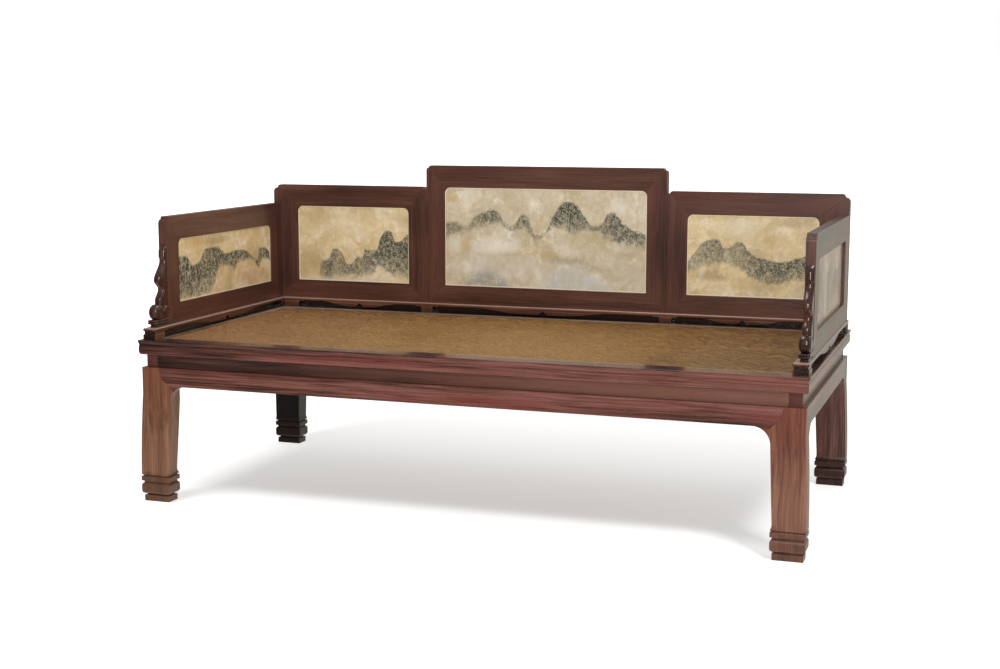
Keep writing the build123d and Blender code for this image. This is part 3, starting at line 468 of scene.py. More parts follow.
# ---------------------------------------------------------------- wood
def oiled_wood(name, grain, tones, shift, gloss=0.34, figure=1.0, change=None, sway=0.03, coat=0.3):
    """Oiled rosewood whose grain runs along one axis.

    Growth bands are noise drawn out along the grain; veins are a finer, bent noise; streaks a few
    millimetres wide, fibres and short open pores are finer still. Slow noise lets the colour drift.
    """
    dark, middle, light, streak = tones
    finish = new_finish(name)
    base = finish.scaled(finish.place, (1, 1, 1), (shift, 0.7 * shift, 1.3 * shift))
    drift = finish.noise(base, 2.6, 2.0)
    bent = finish.wander(base, 3.0, sway, 1.0)

    def drawn(vector, share):
        factors = [1.0, 1.0, 1.0]
        factors[grain] = share
        return finish.scaled(vector, factors)

    bands = finish.noise(drawn(bent, 0.03), 26.0, 3.0, 0.6, 0.15)
    veins = finish.noise(drawn(bent, 0.03), 85.0, 3.0, 0.6, 0.4)
    streaks = finish.noise(drawn(bent, 0.02), 250.0, 2.0, 0.55)
    fibres = finish.noise(drawn(base, 0.02), 700.0, 2.0, 0.6)
    pores = finish.noise(drawn(base, 0.07), 1100.0, 1.0, 0.5)
    level = (bands - 0.5) * (1.7 * figure) + (streaks - 0.5) * (1.1 * figure) + (drift - 0.5) * 0.8
    colour = finish.ramp(level + (fibres - 0.5) * 0.3 + 0.5, [(0.1, dark), (0.5, middle), (0.92, light)])
    glow = finish.noise(drawn(bent, 0.09), 16.0, 2.0, 0.5)
    colour = finish.mix(glow.step(0.52, 0.72) * 0.6, colour, streak)
    vein_share = veins.step(0.55, 0.7) * (0.6 * figure)
    colour = finish.mix(vein_share.least(0.85), colour, dark)
    pore_share = pores.step(0.6, 0.72) * 0.45
    colour = finish.mix(pore_share, colour, tuple(0.35 * c for c in dark[:3]) + (1.0,))
    if change:
        colour = change(finish, colour)
    rough = (fibres - 0.5) * 0.16 + (drift - 0.5) * 0.2 + pore_share * 0.2 + gloss
    height = fibres * 0.5 + streaks * 0.4 - pore_share
    normal = finish.relief(height, 0.3 * MM, 0.5)
    return finish.surface(
        Base_Color=colour, Roughness=rough, Normal=normal, Specular_IOR_Level=0.4, Coat_Weight=coat,
        Coat_Roughness=0.07, Coat_IOR=1.4
    )


FRAME_TONES = (tone("2a1613"), tone("5d352b"), tone("805045"), tone("74352d"))
SCREEN_TONES = (tone("2c1812"), tone("573529"), tone("754b39"), tone("68392d"))
BRACKET_TONES = (tone("1a0e0b"), tone("3c231d"), tone("58372d"), tone("4a2721"))
CARVED_TONES = (tone("3a2119"), tone("764b3a"), tone("a37058"), tone("8c5541"))
LEFT_LEG_TONES = (tone("3c2214"), tone("714a32"), tone("946747"), tone("7e5338"))
RIGHT_LEG_TONES = (tone("361c15"), tone("6e4332"), tone("94654e"), tone("804637"))
# Painted shade: the waist's tones are a darker copy of the frame's, for the shade under the seat rail.
WAIST_SHADED_TONES = (tone("1f110e"), tone("482a21"), tone("684234"), tone("5c3027"))
# Painted shade: the rear left leg's tones are a near-black copy, for the shade under the seat.
REAR_LEFT_SHADED_TONES = (tone("0c0807"), tone("1c1412"), tone("2b1f1b"), tone("261714"))
REAR_RIGHT_TONES = (tone("3a211c"), tone("6a463c"), tone("8a6152"), tone("804638"))
BEARER_TONES = (tone("4b3320"), tone("7c5c3d"), tone("977349"), tone("85603f"))
STRIP_TONES = (tone("5b463b"), tone("86705f"), tone("a48f7c"), tone("8c7263"))
KEY_TONES = (tone("4b2f1f"), tone("6e4a31"), tone("8c6646"), tone("77503a"))
ANKLE = 82 * MM
BEAD_FOOT = SILL_TOP - 10 * MM
BLOCK_REAR = -390 * MM
# Left and right ends of the two worn places on the front rail.
WORN_PLACES = ((-144 * MM, -34 * MM), (545 * MM, 658 * MM))


def leg_change(dark_foot, red_top, low_floor_light=0.0):
    """A leg's colouring: the hidden post takes the waist's darker tone, partly painted shade under the rail;
    the foot is darker, and the shaft warms to red towards its top. It may be paler low down, a painted light
    from the floor."""

    def change(finish, colour):
        z = finish.axes()[Z]
        smudge = finish.noise(finish.place, 30.0, 3.0, 0.6)
        red = (z + (smudge - 0.5) * 0.12).step(0.2, 0.42) * red_top
        colour = finish.mix(red, colour, tone("7c3a2c", 0.9))
        # Painted light: paler low down, as if lit from the floor.
        low = (z + (smudge - 0.5) * 0.08).step(0.12, 0.3, low_floor_light, 0.0)
        colour = finish.mix(low, colour, tone("a67a62"))
        foot = (z + (smudge - 0.5) * 0.05).step(ANKLE - 4 * MM, ANKLE + 12 * MM, dark_foot, 0.0)
        colour = finish.mix(foot, colour, tone("2c1a13"))
        # The post takes the waist's tone, which is partly painted shade under the rail.
        post = z.step(WAIST_FOOT - 0.6 * MM, WAIST_FOOT + 0.6 * MM)
        return finish.mix(post * 0.8, colour, tone("512a25"))

    return change


def sill_shade_and_highlight(axis, front, rear):
    """A sill gets painted shade low down, and darker painted shade on its web, which lies between two planes
    across its depth, under the bead. Its bead carries a painted highlight, a pale line on top, and the block
    at the front end keeps its colour."""

    def change(finish, colour):
        place = finish.axes()
        depth, y, z = place[axis], place[Y], place[Z]
        web = depth.step(front, front + 1.2 * MM) * depth.step(rear - 1.2 * MM, rear, 1.0, 0.0)
        shade_under_bead = z.step(BEAD_FOOT - 0.5 * MM, BEAD_FOOT + 0.5 * MM, 1.0, 0.0)
        low = z.step(SEAT_TOP + 8.5 * MM, SILL_TOP - 8 * MM, 0.6, 0.0)
        behind_block = y.step(BLOCK_REAR - 5 * MM, BLOCK_REAR + 5 * MM)
        bead_highlight = z.step(SILL_TOP - 4.5 * MM, SILL_TOP - 1.5 * MM) * 0.6
        # Painted shade low on the sill, except on the front block.
        colour = finish.mix(low * behind_block, colour, tone("1d100c"))
        # Painted highlight: a pale line along the bead's top.
        colour = finish.mix(bead_highlight, colour, tone("b39a8c"))
        # Painted shade on the web inside the arches.
        return finish.mix(web * shade_under_bead * 0.85, colour, tone("140b09"))

    return change


def waist_lit_right(finish, colour):
    """The waist is paler towards the right end: painted light, where more light falls on it."""
    return finish.mix(finish.axes()[X].step(-0.7, 0.8) * 0.6, colour, tone("8a5a48"))


def worn_change(finish, colour):
    """Two places on top of the front edge show darker, redder wood."""
    x, y, z = finish.axes()
    ragged = x + (finish.noise(finish.place, 120.0, 3.0, 0.6) - 0.5) * 0.02
    patches = 0.0
    for start, end in WORN_PLACES:
        patches = patches + ragged.step(start, start + 8 * MM) * ragged.step(end - 8 * MM, end, 1.0, 0.0)
    on_top = z.step(SEAT_TOP - 3 * MM, SEAT_TOP - 2 * MM, 0.0, 0.85)
    in_front = y.step(SEAT_FRONT + 9 * MM, SEAT_FRONT + 19 * MM, 1.0, 0.0)
    return finish.mix(patches * (on_top * in_front), colour, tone("2f1612"))


# ---------------------------------------------------------------- marble
MARBLE_TONGUE = 8 * MM
OPENING_ROUND = 19 * MM


def marble_ground(finish, base, dust, figure):
    """Clouded stone in three shades, with milky patches, bent veins, mottling and dust."""
    cloudy = finish.noise(finish.wander(base, 7.0, 0.06), 9.0, 4.0, 0.55, 0.4)
    milky = finish.noise(finish.wander(base, 5.0, 0.1), 15.0, 3.0, 0.5, 0.8)
    thread = (finish.noise(finish.wander(base, 9.0, 0.12, 3.0), 6.0, 3.0, 0.5) - 0.5).size()
    mottle = finish.noise(base, 75.0, 4.0, 0.65)
    colour = finish.ramp(cloudy, [(0.32, figure["deep"]), (0.5, figure["ground"]), (0.68, figure["pale"])])
    colour = finish.mix(milky.step(0.5, 0.72) * 0.55, colour, figure["milk"])
    colour = finish.mix(thread.step(0.0, 0.035, 0.22, 0.0), colour, figure["vein"])
    colour = finish.mix(mottle.step(0.42, 0.62) * 0.3, colour, figure["deep"])
    colour = finish.mix(mottle.step(0.3, 0.46, 0.2, 0.0), colour, figure["milk"])
    return finish.mix(dust.step(0.5, 0.66) * 0.3, colour, figure["vein"])


def opening_edge_highlight(finish, colour, along, up, width, height):
    """A painted highlight: a pale line that follows the edge of an opening with two round upper corners, as
    if light caught a bevel there. Its place is the distance from that edge, R - sqrt(q^2 + p^2), with q and p
    how far a point is into a corner's square."""
    q = ((along - width / 2).size() - (width / 2 - OPENING_ROUND)).most(0.0)
    p = (up - (height - OPENING_ROUND)).most(0.0)
    border = (OPENING_ROUND - (q * q + p * p).math("SQRT")).least(up)
    return finish.mix(border.step(1.8 * MM, 3.4 * MM, 0.8, 0.0), colour, tone("ecdcbc", 1.25))


def figured_marble(name, axis, low, high, figure):
    """Honed marble figured like distant hills, for the opening between two corners.

    s and t run from 0 to 1 along and up the opening and are frayed by noise. Hills fill the band between
    two curves of s with dark and pale grains, densest at the crest. Hazes fill the ground under a curve,
    clouds are soft ellipses, and a painted highlight follows the opening's edge as a pale line.
    """
    finish = new_finish(name)
    shift = figure["shift"]
    base = finish.scaled(finish.place, (1, 1, 1), (shift, 1.7 * shift, 0.6 * shift))
    place = finish.axes()
    along, up = place[axis] - low[axis], place[Z] - low[Z]
    width, height = high[axis] - low[axis], high[Z] - low[Z]
    fray = finish.noise(base, 60.0, 6.0, 0.75) - 0.5
    sway = finish.noise(base, 17.0, 2.0, 0.5) - 0.5
    s = along / width + fray * 0.03
    t = up / height + fray * 0.16 + sway * 0.06
    dust = finish.noise(base, 320.0, 3.0, 0.7)
    colour = marble_ground(finish, base, dust, figure)

    for at_s, at_t, reach_s, reach_t, tint, strength in figure["clouds"]:
        u, v = (s - at_s) / reach_s, (t - at_t) / reach_t
        share = (u * u + v * v + fray * 1.8).step(-0.2, 1.5, 0.8 * strength, 0.0)
        colour = finish.mix(share, colour, tone(tint, 1.15))

    fine = finish.noise(base, 300.0, 2.0, 0.75)
    coarse = finish.noise(finish.scaled(base, (1, 1, 0.6)), 130.0, 3.0, 0.75)
    grain = fine * (1 - figure["coarse"]) + coarse * figure["coarse"]
    clump = finish.noise(base, 60.0, 3.0, 0.6)
    for skyline, tint, strength in figure["hazes"]:
        under = (finish.curve(s, skyline) - t - 0.02 + fray * 0.1).step(-0.03, 0.09) * strength
        speckle = (grain * 0.6 + clump * 0.4).step(0.44, 0.6, 0.35, 1.0)
        colour = finish.mix(under * speckle, colour, tone(tint, 1.1))

    crest, foot = (finish.curve(s, figure[line]) for line in ("crest", "foot"))
    below, above = crest - t, t - foot
    band = below.step(-0.012, 0.02) * above.step(-0.04, 0.05)
    force = finish.curve(s, figure["force"])
    depth = below / (crest - foot + 0.03)
    thick = band * force * depth.step(0.3, 1.2, 1.0, 0.5) * clump.step(0.38, 0.52, 0.6, 1.0)
    edge = below.step(-0.02, 0.0) * below.step(0.015, 0.045, 1.0, 0.0)
    colour = finish.mix(thick * 0.8, colour, figure["wash"])
    colour = finish.mix(grain.step(0.43, 0.52) * thick, colour, figure["ink"])
    colour = finish.mix(grain.step(0.4, 0.46, 1.0, 0.0) * thick * 0.7, colour, figure["fleck"])
    colour = finish.mix(edge * force * clump.step(0.45, 0.55) * 0.35, colour, figure["ink"])

    # Painted highlight along the opening's edge.
    colour = opening_edge_highlight(finish, colour, along, up, width, height)
    rough = dust * 0.12 + thick * 0.1 + 0.24
    normal = finish.relief(dust * 0.4 + clump * 0.6, 0.2 * MM, 0.4)
    return finish.surface(Base_Color=colour, Roughness=rough, Normal=normal, Specular_IOR_Level=0.35)


# Each stone's colours and figure. A curve is a row of (s, t) points; crest and foot bound the hills, and
# force is how dark they are. A cloud is (s, t, reach along, reach up, colour, strength), and a haze is
# (skyline, colour, strength).
WARM_GROUND = {
    "ground": tone("cab68e", 1.4), "deep": tone("b5a078", 1.3), "pale": tone("d3c6a6", 1.4),
    "milk": tone("dcd3c3", 1.4), "vein": tone("ab8c50", 1.1), "wash": tone("8e8b78", 1.1),
    "ink": tone("33352c"), "fleck": tone("c6c6ad", 1.2), "coarse": 0.35,
}
MARBLES = {
    "centre_back": {
        **WARM_GROUND,
        "shift": 3.0,
        "ground": tone("cabda2", 1.15),
        "deep": tone("b8a986", 1.1),
        "pale": tone("d5ccba", 1.15),
        "crest": (
            (0, 0.63), (0.05, 0.655), (0.1, 0.6), (0.15, 0.7), (0.24, 0.785), (0.34, 0.62), (0.4, 0.735),
            (0.47, 0.53), (0.55, 0.75), (0.62, 0.875), (0.7, 0.75), (0.76, 0.64), (0.83, 0.77), (0.9, 0.65),
            (1, 0.56)
        ),
        "foot": (
            (0, 0.51), (0.1, 0.55), (0.2, 0.61), (0.27, 0.65), (0.33, 0.6), (0.41, 0.59), (0.46, 0.49),
            (0.57, 0.63), (0.64, 0.58), (0.7, 0.62), (0.8, 0.52), (0.9, 0.47), (1, 0.45)
        ),
        "force": (
            (0, 0.75), (0.08, 0.5), (0.17, 0.6), (0.24, 0.9), (0.3, 0.55), (0.39, 0.9), (0.46, 0.5),
            (0.55, 0.9), (0.62, 1), (0.71, 0.9), (0.77, 0.6), (0.85, 1), (1, 0.85)
        ),
        "clouds": (
            (0.23, 0.42, 0.1, 0.1, "e3dccf", 0.85), (0.33, 0.42, 0.06, 0.08, "e3dccf", 0.85),
            (0.05, 0.42, 0.05, 0.09, "ddd5c4", 0.7), (0.86, 0.84, 0.05, 0.09, "ddd5c6", 0.8),
            (0.12, 0.92, 0.06, 0.08, "d9d2c0", 0.6), (0.61, 0.38, 0.09, 0.06, "ddd6c8", 0.5),
            (0.1, 0.41, 0.03, 0.1, "b5954e", 0.6), (0.43, 0.39, 0.06, 0.07, "bba15f", 0.45),
            (0.54, 0.35, 0.06, 0.05, "b59b5c", 0.6), (0.03, 0.9, 0.05, 0.06, "bd9a58", 0.6),
            (0.43, 0.12, 0.03, 0.1, "ad9555", 0.5), (0.62, 0.29, 0.12, 0.04, "7d7a6c", 0.5),
            (0.75, 0.22, 0.08, 0.04, "8a8678", 0.4),
            (0.9, 0.15, 0.12, 0.16, "b9ad94", 0.5), (0.3, 0.2, 0.3, 0.12, "ccc6bc", 0.55)
        ),
        "hazes": (
            ((
                (0, 0), (0.05, 0), (0.11, 0.09), (0.19, 0.21), (0.28, 0.17), (0.36, 0.02), (0.42, 0), (1, 0)
            ), "7f878c", 0.8),
            ((
                (0, 0), (0.42, 0), (0.5, 0.12), (0.57, 0.25), (0.65, 0.27), (0.73, 0.22), (0.82, 0.1),
                (0.9, 0), (1, 0)
            ), "c3c6c4", 0.95),
        ),
    },
    "left_back": {
        **WARM_GROUND,
        "shift": 5.0,
        "crest": (
            (0, 0), (0.17, 0.02), (0.2, 0.23), (0.28, 0.29), (0.32, 0.425), (0.39, 0.38), (0.46, 0.24),
            (0.55, 0.33), (0.58, 0.32), (0.61, 0.45), (0.7, 0.43), (0.75, 0.6), (0.83, 0.69), (0.89, 0.55),
            (1, 0.66)
        ),
        "foot": (
            (0, 0.05), (0.25, 0.03), (0.42, 0.08), (0.5, 0.06), (0.62, 0.09), (0.69, 0.12), (0.72, 0.22),
            (0.78, 0.16), (0.86, 0.1), (1, 0.07)
        ),
        "force": ((0, 0), (0.18, 0.3), (0.27, 0.8), (0.35, 0.7), (0.48, 0.75), (0.63, 0.8), (0.8, 1), (1, 1)),
        "clouds": (
            (0.83, 0.34, 0.035, 0.19, "c6bb9a", 0.85), (0.945, 0.28, 0.05, 0.06, "c3b696", 0.85),
            (0.12, 0.25, 0.16, 0.25, "a88a5c", 0.5), (0.5, 0.02, 0.6, 0.04, "d8cfba", 0.7),
            (0.4, 0.75, 0.2, 0.15, "d6c9a4", 0.5), (0.15, 0.85, 0.1, 0.1, "b6975f", 0.45)
        ),
        "hazes": (),
    },
    "right_back": {
        **WARM_GROUND,
        "shift": 8.0,
        "crest": (
            (0, 0.39), (0.06, 0.54), (0.14, 0.675), (0.23, 0.71), (0.29, 0.595), (0.35, 0.62), (0.4, 0.68),
            (0.47, 0.58), (0.52, 0.505), (0.6, 0.48), (0.7, 0.44), (0.8, 0.47), (1, 0.56)
        ),
        "foot": (
            (0, 0.29), (0.1, 0.345), (0.22, 0.39), (0.31, 0.415), (0.4, 0.345), (0.5, 0.245), (0.6, 0.18),
            (0.7, 0.185), (0.85, 0.22), (1, 0.27)
        ),
        "force": ((0, 0.55), (0.1, 0.6), (0.2, 0.75), (0.35, 0.6), (0.5, 0.85), (0.7, 0.95), (1, 0.9)),
        "clouds": (
            (0.19, 0.24, 0.14, 0.07, "92784f", 0.7), (0.82, 0.92, 0.16, 0.07, "a98d5f", 0.7),
            (0.4, 0.84, 0.16, 0.12, "d9d0b4", 0.7), (0.68, 0.7, 0.12, 0.1, "c09c58", 0.5),
            (0.47, 0.15, 0.14, 0.1, "bd9c5c", 0.45), (0.9, 0.06, 0.14, 0.08, "cfc3a2", 0.5)
        ),
        "hazes": (),
    },
    "left_side": {
        **WARM_GROUND,
        "shift": 11.0,
        "ground": tone("c6ad80", 1.45),
        "ink": tone("272c25"),
        "fleck": tone("d5d0b2", 1.2),
        "coarse": 0.5,
        "crest": (
            (0, 0.71), (0.08, 0.69), (0.15, 0.54), (0.22, 0.6), (0.28, 0.77), (0.38, 0.77), (0.5, 0.64),
            (0.58, 0.65), (0.7, 0.62), (0.79, 0.5), (0.84, 0.44), (0.87, 0.64), (0.95, 0.61), (1, 0.44)
        ),
        "foot": (
            (0, 0.02), (0.29, 0.03), (0.36, 0.16), (0.43, 0.44), (0.51, 0.46), (0.58, 0.35), (0.64, 0.46),
            (0.8, 0.45), (0.86, 0.3), (0.9, 0.44), (1, 0.37)
        ),
        "force": ((0, 0.9), (0.1, 1), (0.3, 0.9), (0.45, 1), (0.7, 1), (0.85, 0.9), (1, 1)),
        "clouds": (
            (0.13, 0.4, 0.03, 0.3, "cfc6b0", 0.75), (0.24, 0.45, 0.02, 0.25, "c9c0a8", 0.7),
            (0.06, 0.25, 0.03, 0.2, "cabfa6", 0.6), (0.4, 0.88, 0.14, 0.07, "8f7550", 0.65),
            (0.8, 0.15, 0.2, 0.14, "b98f68", 0.6), (0.15, 0.9, 0.15, 0.1, "c09a5c", 0.6)
        ),
        "hazes": (),
    },
    "right_side": {
        **WARM_GROUND,
        "shift": 14.0,
        "ground": tone("b5a091"),
        "deep": tone("8f776c"),
        "pale": tone("c4b4a6"),
        "milk": tone("cfc4ba"),
        "crest": ((0, 0.8), (0.2, 0.9), (0.45, 0.7), (0.6, 0.85), (0.8, 0.6), (1, 0.75)),
        "foot": ((0, 0.1), (0.3, 0.2), (0.5, 0.05), (0.7, 0.25), (1, 0.1)),
        "force": ((0, 0.1), (0.2, 0.35), (0.35, 0.1), (0.5, 0.4), (0.65, 0.1), (0.8, 0.35), (1, 0.1)),
        "clouds": (
            (0.15, 0.5, 0.04, 0.5, "8a736a", 0.6), (0.4, 0.4, 0.05, 0.5, "cdbfb2", 0.6),
            (0.62, 0.5, 0.04, 0.5, "93796d", 0.6), (0.82, 0.5, 0.05, 0.4, "c9bdb2", 0.6)
        ),
        "hazes": (),
    },
}


# ---------------------------------------------------------------- cane and palm
def twilled_cane():
    """Aged split cane in a herringbone twill: strand i crosses strand j on top where (i turned by its band
    + j) mod 4 is under 2. It is golden in front and rosier on the left; it is browner behind and on the
      right, partly with age and partly painted shade."""
    finish = new_finish("woven cane")
    pitch, band = 3.2 * MM, 36 * MM
    x, y, _ = finish.axes()
    wave = (finish.noise(finish.place, 14.0, 2.0) - 0.5) * 0.003
    i, j = (x + wave) / pitch, (y - wave) / pitch
    turn = ((x / band) % 2.0).math("LESS_THAN", 1.0) * 2.0 - 1.0
    over = ((i.math("FLOOR") * turn + j.math("FLOOR")) % 4.0).math("LESS_THAN", 2.0)
    u, v = ((i % 1.0) - 0.5).size(), ((j % 1.0) - 0.5).size()
    across = over * v + (1.0 - over) * u
    gap = across.step(0.36, 0.5)
    split = finish.noise(finish.scaled(finish.place, (40, 600, 1)), 1.0, 2.0)
    split_down = finish.noise(finish.scaled(finish.place, (600, 40, 1)), 1.0, 2.0)
    strand = over * split + (1.0 - over) * split_down
    age = finish.noise(finish.wander(finish.place, 3.0, 0.2), 3.2, 4.0, 0.55)
    stain = finish.noise(finish.scaled(finish.place, (2.0, 9.0, 1)), 1.4, 4.0, 0.6)
    golden = finish.mix(x.step(-0.9, -0.1), tone("a97c59"), tone("ae8449"))
    # Painted shade, mixed with age: darker brown behind and towards the right end.
    tan = finish.mix(y.step(-0.1, 0.5) * 0.5, golden, tone("5f4129"))
    tan = finish.mix(x.step(0.2, 0.95) * 0.8, tan, tone("54402f"))
    tan = finish.mix(age.step(0.38, 0.66, 0.0, 0.35), tan, tone("5f452a"))
    tan = finish.mix(stain.step(0.5, 0.72) * 0.3, tan, tone("b98f55"))
    dashes = finish.noise(finish.point(x, y * 0.35), 140.0, 2.0, 0.7)
    slant = finish.noise(finish.point(x + y * turn * 0.9, y * 0.15), 80.0, 2.0, 0.6)
    tan = finish.mix(dashes.step(0.44, 0.58) * 0.5, tan, tone("4a321c"))
    tan = finish.mix(slant.step(0.47, 0.58) * 0.45, tan, tone("cfa468"))
    # Painted sheen and shade: strands along X are lightened; strands along Y are darkened, together with real
    # fibre streaks.
    colour = finish.mix(over * 0.55, tan, finish.mix(1.0, tan, tone("ffe0b0"), "SOFT_LIGHT"))
    colour = finish.mix((1.0 - over) * 0.35 + strand.step(0.4, 0.7) * 0.25, colour, tone("3d2917"))
    # Painted shade in the gaps between strands.
    colour = finish.mix(gap * 0.75, colour, tone("1d130b"))
    rough = strand * 0.25 + gap * 0.2 + 0.34
    height = over * 0.4 + (0.5 - across) * 1.1 - gap * 0.5
    normal = finish.relief(height, 0.8 * MM, 0.7)
    return finish.surface(Base_Color=colour, Roughness=rough, Normal=normal, Specular_IOR_Level=0.35)


def palm_net():
    """Twisted palm ropes in a close net: ropes cross every 9 mm both ways, with painted shade between them
    and in the grooves of their twist.
    """
    finish = new_finish("palm webbing")
    x, y, _ = finish.axes()
    pitch, strand = 9 * MM, 3.2 * MM
    u, v = (((x / pitch) % 1.0) - 0.5).size(), (((y / pitch) % 1.0) - 0.5).size()
    over = (((x / pitch).math("FLOOR") + (y / pitch).math("FLOOR")) % 2.0).math("LESS_THAN", 1.0)
    across = over * v + (1.0 - over) * u
    twist = ((x + y + u * 0.004) / strand % 1.0 - 0.5).size()
    fibre = finish.noise(finish.scaled(finish.place, (500, 500, 90)), 1.0, 3.0, 0.6)
    rope = across.step(0.34, 0.48, 1.0, 0.0)
    colour = finish.mix(fibre, tone("4e3520"), tone("80603c"))
    # Painted shade in the grooves of each rope's twist.
    colour = finish.mix(twist.step(0.1, 0.3, 0.45, 0.0), colour, tone("33210f"))
    # Painted shade between the ropes.
    colour = finish.mix(1.0 - rope, colour, tone("22160b"))
    normal = finish.relief(rope * 0.8 + fibre * 0.2, 2 * MM, 0.8)
    rough = fibre * 0.2 + 0.7
    return finish.surface(Base_Color=colour, Roughness=rough, Normal=normal, Specular_IOR_Level=0.2)


# ---------------------------------------------------------------- finishes, to be dressed
frame_woods = [
    oiled_wood(f"frame wood {axis}", axis, FRAME_TONES, 2.0 + axis, 0.26, 1.25, worn_change, 0.012)
    for axis in (X, Y)
]
waist_woods = [
    oiled_wood(f"waist wood {axis}", axis, WAIST_SHADED_TONES, 3.5 + axis, 0.3, 1.0, waist_lit_right, 0.012)
    for axis in (X, Y)
]
screen_woods = [
    oiled_wood(f"screen wood {axis}", axis, SCREEN_TONES, 5.0 + axis, 0.34, 0.6) for axis in (X, Y, Z)
]
bracket_wood = oiled_wood("bracket wood", Z, BRACKET_TONES, 7.0, 0.17, 0.8, coat=0.5)
leg_woods = {
    "front_left": oiled_wood(
        "left leg wood", Z, LEFT_LEG_TONES, 1.0, 0.34, 0.9, leg_change(0.45, 0.35, 0.15)
    ),
    "front_right": oiled_wood(
        "right leg wood", Z, RIGHT_LEG_TONES, 3.0, 0.32, 1.0, leg_change(0.35, 0.45, 0.25), coat=0.1
    ),
    # The rear left leg's near-black tones and almost fully darkened foot are painted shade.
    "rear_left": oiled_wood(
        "rear left leg wood", Z, REAR_LEFT_SHADED_TONES, 4.0, 0.36, 0.9, leg_change(0.95, 0.0), coat=0.1
    ),
    "rear_right": oiled_wood(
        "rear right leg wood", Z, REAR_RIGHT_TONES, 4.0, 0.36, 0.9, leg_change(0.7, 0.1)
    ),
}
bearer_wood = oiled_wood("bearer wood", Y, BEARER_TONES, 6.0, 0.6, 0.8)
strip_wood = oiled_wood("strip wood", X, STRIP_TONES, 8.0, 0.3, 0.7, worn_change)
key_wood = oiled_wood("key wood", Z, KEY_TONES, 9.0, 0.5, 0.8)

# ---------------------------------------------------------------- dressing the solids
RAIL_EASE = 0.9 * MM
LEG_EASE = 1.8 * MM
STRIP_EASE = 0.8 * MM
BEARER_EASE = 1.2 * MM
SCREEN_EASE = 1.1 * MM
SILL_EASE = 0.8 * MM
SILL_WEB_SET_IN = 3.6 * MM
STILES = {"back": ("inner", "corner"), "centre_back": ("left", "right"), "side": ("front", "rear")}
SCREENS = {
    "centre_back": "centre_back",
    "left_back": "back",
    "right_back": "back",
    "left_side": "side",
    "right_side": "side",
}


def dress_screen(screen, kind):
    """Finishes for a screen's frame, its sill, and the marble in its opening."""
    along, across = (Y, X) if kind == "side" else (X, Y)
    for stile in STILES[kind]:
        eased(f"{screen}_{stile}_stile", screen_woods[Z], SCREEN_EASE)
    for rail in ("top", "bottom"):
        eased(f"{screen}_{rail}_rail", screen_woods[along], SCREEN_EASE)
    low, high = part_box(f"{screen}_sill")
    change = sill_shade_and_highlight(across, low[across] + SILL_WEB_SET_IN, high[across] - SILL_WEB_SET_IN)
    tones = SCREEN_TONES if kind == "side" else CARVED_TONES
    sill_wood = oiled_wood(f"{screen} sill wood", along, tones, 7.0, 0.18, 0.8, change)
    eased(f"{screen}_sill", sill_wood, SILL_EASE)
    low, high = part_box(f"{screen}_marble")
    tongue = np.zeros(3)
    tongue[[along, Z]] = MARBLE_TONGUE
    low, high = np.array(low) + tongue, np.array(high) - tongue
    finished(f"{screen}_marble", figured_marble(f"{screen} marble", along, low, high, MARBLES[screen]))


for end in ("front", "rear"):
    eased(f"{end}_rail", frame_woods[X], RAIL_EASE)
    eased(f"{end}_apron", frame_woods[X], RAIL_EASE)
    eased(f"{end}_waist", waist_woods[X], RAIL_EASE)
for end in ("left", "right"):
    eased(f"{end}_end_rail", frame_woods[Y], RAIL_EASE)
    eased(f"{end}_apron", frame_woods[Y], RAIL_EASE)
    eased(f"{end}_waist", waist_woods[Y], RAIL_EASE)
for corner, wood in leg_woods.items():
    eased(f"{corner}_leg", wood, LEG_EASE)
eased("mat_pressing_strips", strip_wood, STRIP_EASE)
for number in (1, 2, 3):
    eased(f"seat_bearer_{number}", bearer_wood, BEARER_EASE)
for screen, kind in SCREENS.items():
    dress_screen(screen, kind)
woven("palm_webbing", "palm_webbing_net", MAT_EDGE_TOP - MAT_THICKNESS, WEBBING_THICKNESS, palm_net())
woven("woven_cane_mat", "cane_mat", MAT_EDGE_TOP, MAT_THICKNESS, twilled_cane())
for end in ("left", "right"):
    bracket(f"{end}_side_bracket", bracket_wood)
    finished(f"{end}_side_keys", key_wood)
    finished(f"{end}_back_pins", key_wood)
finished("centre_back_keys", key_wood)


# ---------------------------------------------------------------- camera, floor and light
CAMERA_PLACE = (1.51438, -4.38558, 1.17878)
CAMERA_YAW = 0.3344
CAMERA_PITCH = 0.1464
CAMERA_LENS = 54.9
FILM_WIDTH = 36.0
FLOOR_REACH = 30.0
WHITE = (1.0, 1.0, 1.0, 1.0)
PAPER_WHITE = (0.8, 0.8, 0.8, 1.0)
WALL_WHITE = (1.0, 0.99, 0.97, 1.0)
REAR_WALL = (0.95, 0.93, 0.78, 1.0)


def look_from(place, yaw, pitch, lens):
    """A camera turned yaw to the left of +Y and pitch down from level."""
    data = bpy.data.cameras.new("camera")
    data.sensor_width = FILM_WIDTH
    data.lens = lens
    data.clip_end = 100.0
    camera = bpy.data.objects.new("camera", data)
    camera.location = place
    camera.rotation_euler = (math.pi / 2 - pitch, 0.0, yaw)
    bpy.context.scene.collection.objects.link(camera)
    bpy.context.scene.camera = camera


def studio_air():
    """A white studio for the wood to reflect: its walls are dim in front, and brighter behind and to the
    right, where they are warmer. The backdrop itself is plain white."""
    air = Finish(bpy.data.worlds.new("studio air"))
    east, north, up = air.axes(air.add("TexCoord", out="Generated"))
    glow = (north * 0.85 + east * 0.36).step(-0.1, 1.0) * 0.5 + up.step(0.1, 0.9) * 0.2
    glow = glow + up.step(-0.95, -0.45, 0.5, 0.0) + 0.11
    seen = air.add("LightPath", out="Is Camera Ray")
    strength = seen * (1.0 - glow) + glow
    behind = east.step(0.02, 0.1) * north.step(0.5, 0.9)
    tint = air.mix(seen, air.mix(behind, WALL_WHITE, REAR_WALL), WHITE)
    lamp = air.add("Background", {}, {"Color": tint, "Strength": strength})
    air.add("OutputWorld", {}, {"Surface": lamp}, None)
    bpy.context.scene.world = air.owner


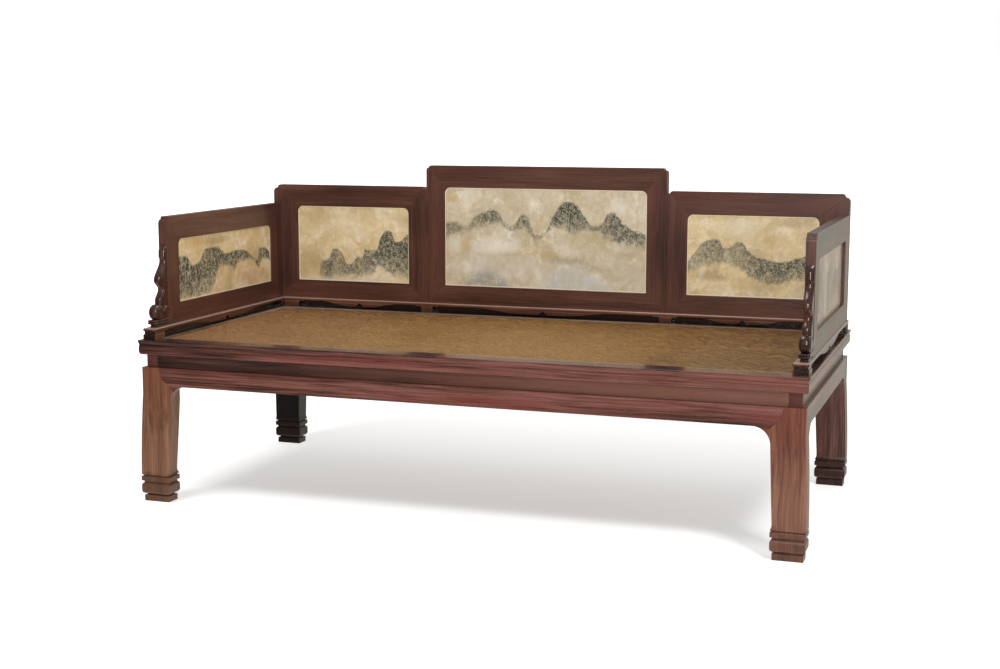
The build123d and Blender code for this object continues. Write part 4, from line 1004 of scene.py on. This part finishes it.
def paper_floor():
    """A broad sheet of white paper. It glows a little, more towards the back and more with distance, so it
    ends in plain white; this glow is painted light that also lightens the shadow behind the bed.
    """
    finish = new_finish("white paper")
    x, y, _ = finish.axes()
    far = (x * x + y * y).math("SQRT").step(1.9, 4.0)
    glow = far * 0.6 + y.step(-0.4, 2.2) * 0.4 + 0.49
    colour = finish.point(glow, glow, glow)
    material = finish.surface(
        Base_Color=PAPER_WHITE, Roughness=1.0, Specular_IOR_Level=0.0, Emission_Color=colour,
        Emission_Strength=1.0
    )
    reach = FLOOR_REACH
    corners = [(-reach, -reach, 0), (reach, -reach, 0), (reach, reach, 0), (-reach, reach, 0)]
    floor = mesh_object("floor", corners, [(0, 1, 2, 3)])
    floor.data.materials.append(material)
    floor.visible_glossy = False
    return floor


def softbox(name, place, aim, size, power, lit):
    """A rectangular lamp that faces a point and lights one collection."""
    data = bpy.data.lights.new(name, "AREA")
    data.shape = "RECTANGLE"
    data.size, data.size_y = size
    data.energy = power
    lamp = bpy.data.objects.new(name, data)
    lamp.location = place
    way = np.array(aim, float) - np.array(place, float)
    lamp.rotation_euler = (
        math.atan2(math.hypot(way[0], way[1]), -way[2]), 0.0, math.atan2(way[0], -way[1]) + math.pi
    )
    bpy.context.scene.collection.objects.link(lamp)
    lamp.light_linking.receiver_collection = lit


look_from(CAMERA_PLACE, CAMERA_YAW, CAMERA_PITCH, CAMERA_LENS)
bpy.context.scene.view_settings.view_transform = "Standard"
studio_air()
floor = paper_floor()
daybed = bpy.data.collections.new("daybed")
for piece in bpy.context.scene.objects:
    if piece.type == "MESH" and piece != floor:
        daybed.objects.link(piece)
paper = bpy.data.collections.new("paper")
paper.objects.link(floor)
softbox("overhead", (-0.15, 0.0, 3.3), (0.0, 0.0, 0.3), (1.9, 1.3), 38.0, daybed)
softbox("front", (1.3, -4.3, 2.4), (0.0, 0.0, 0.6), (0.6, 4.0), 128.0, daybed)
softbox("right of the paper", (2.2, -1.85, 2.6), (0.6, 0.0, 0.0), (0.6, 0.6), 62.0, paper)
softbox("left of the paper", (-1.4, -1.5, 2.6), (-0.9, 0.0, 0.0), (1.0, 0.8), 48.0, paper)
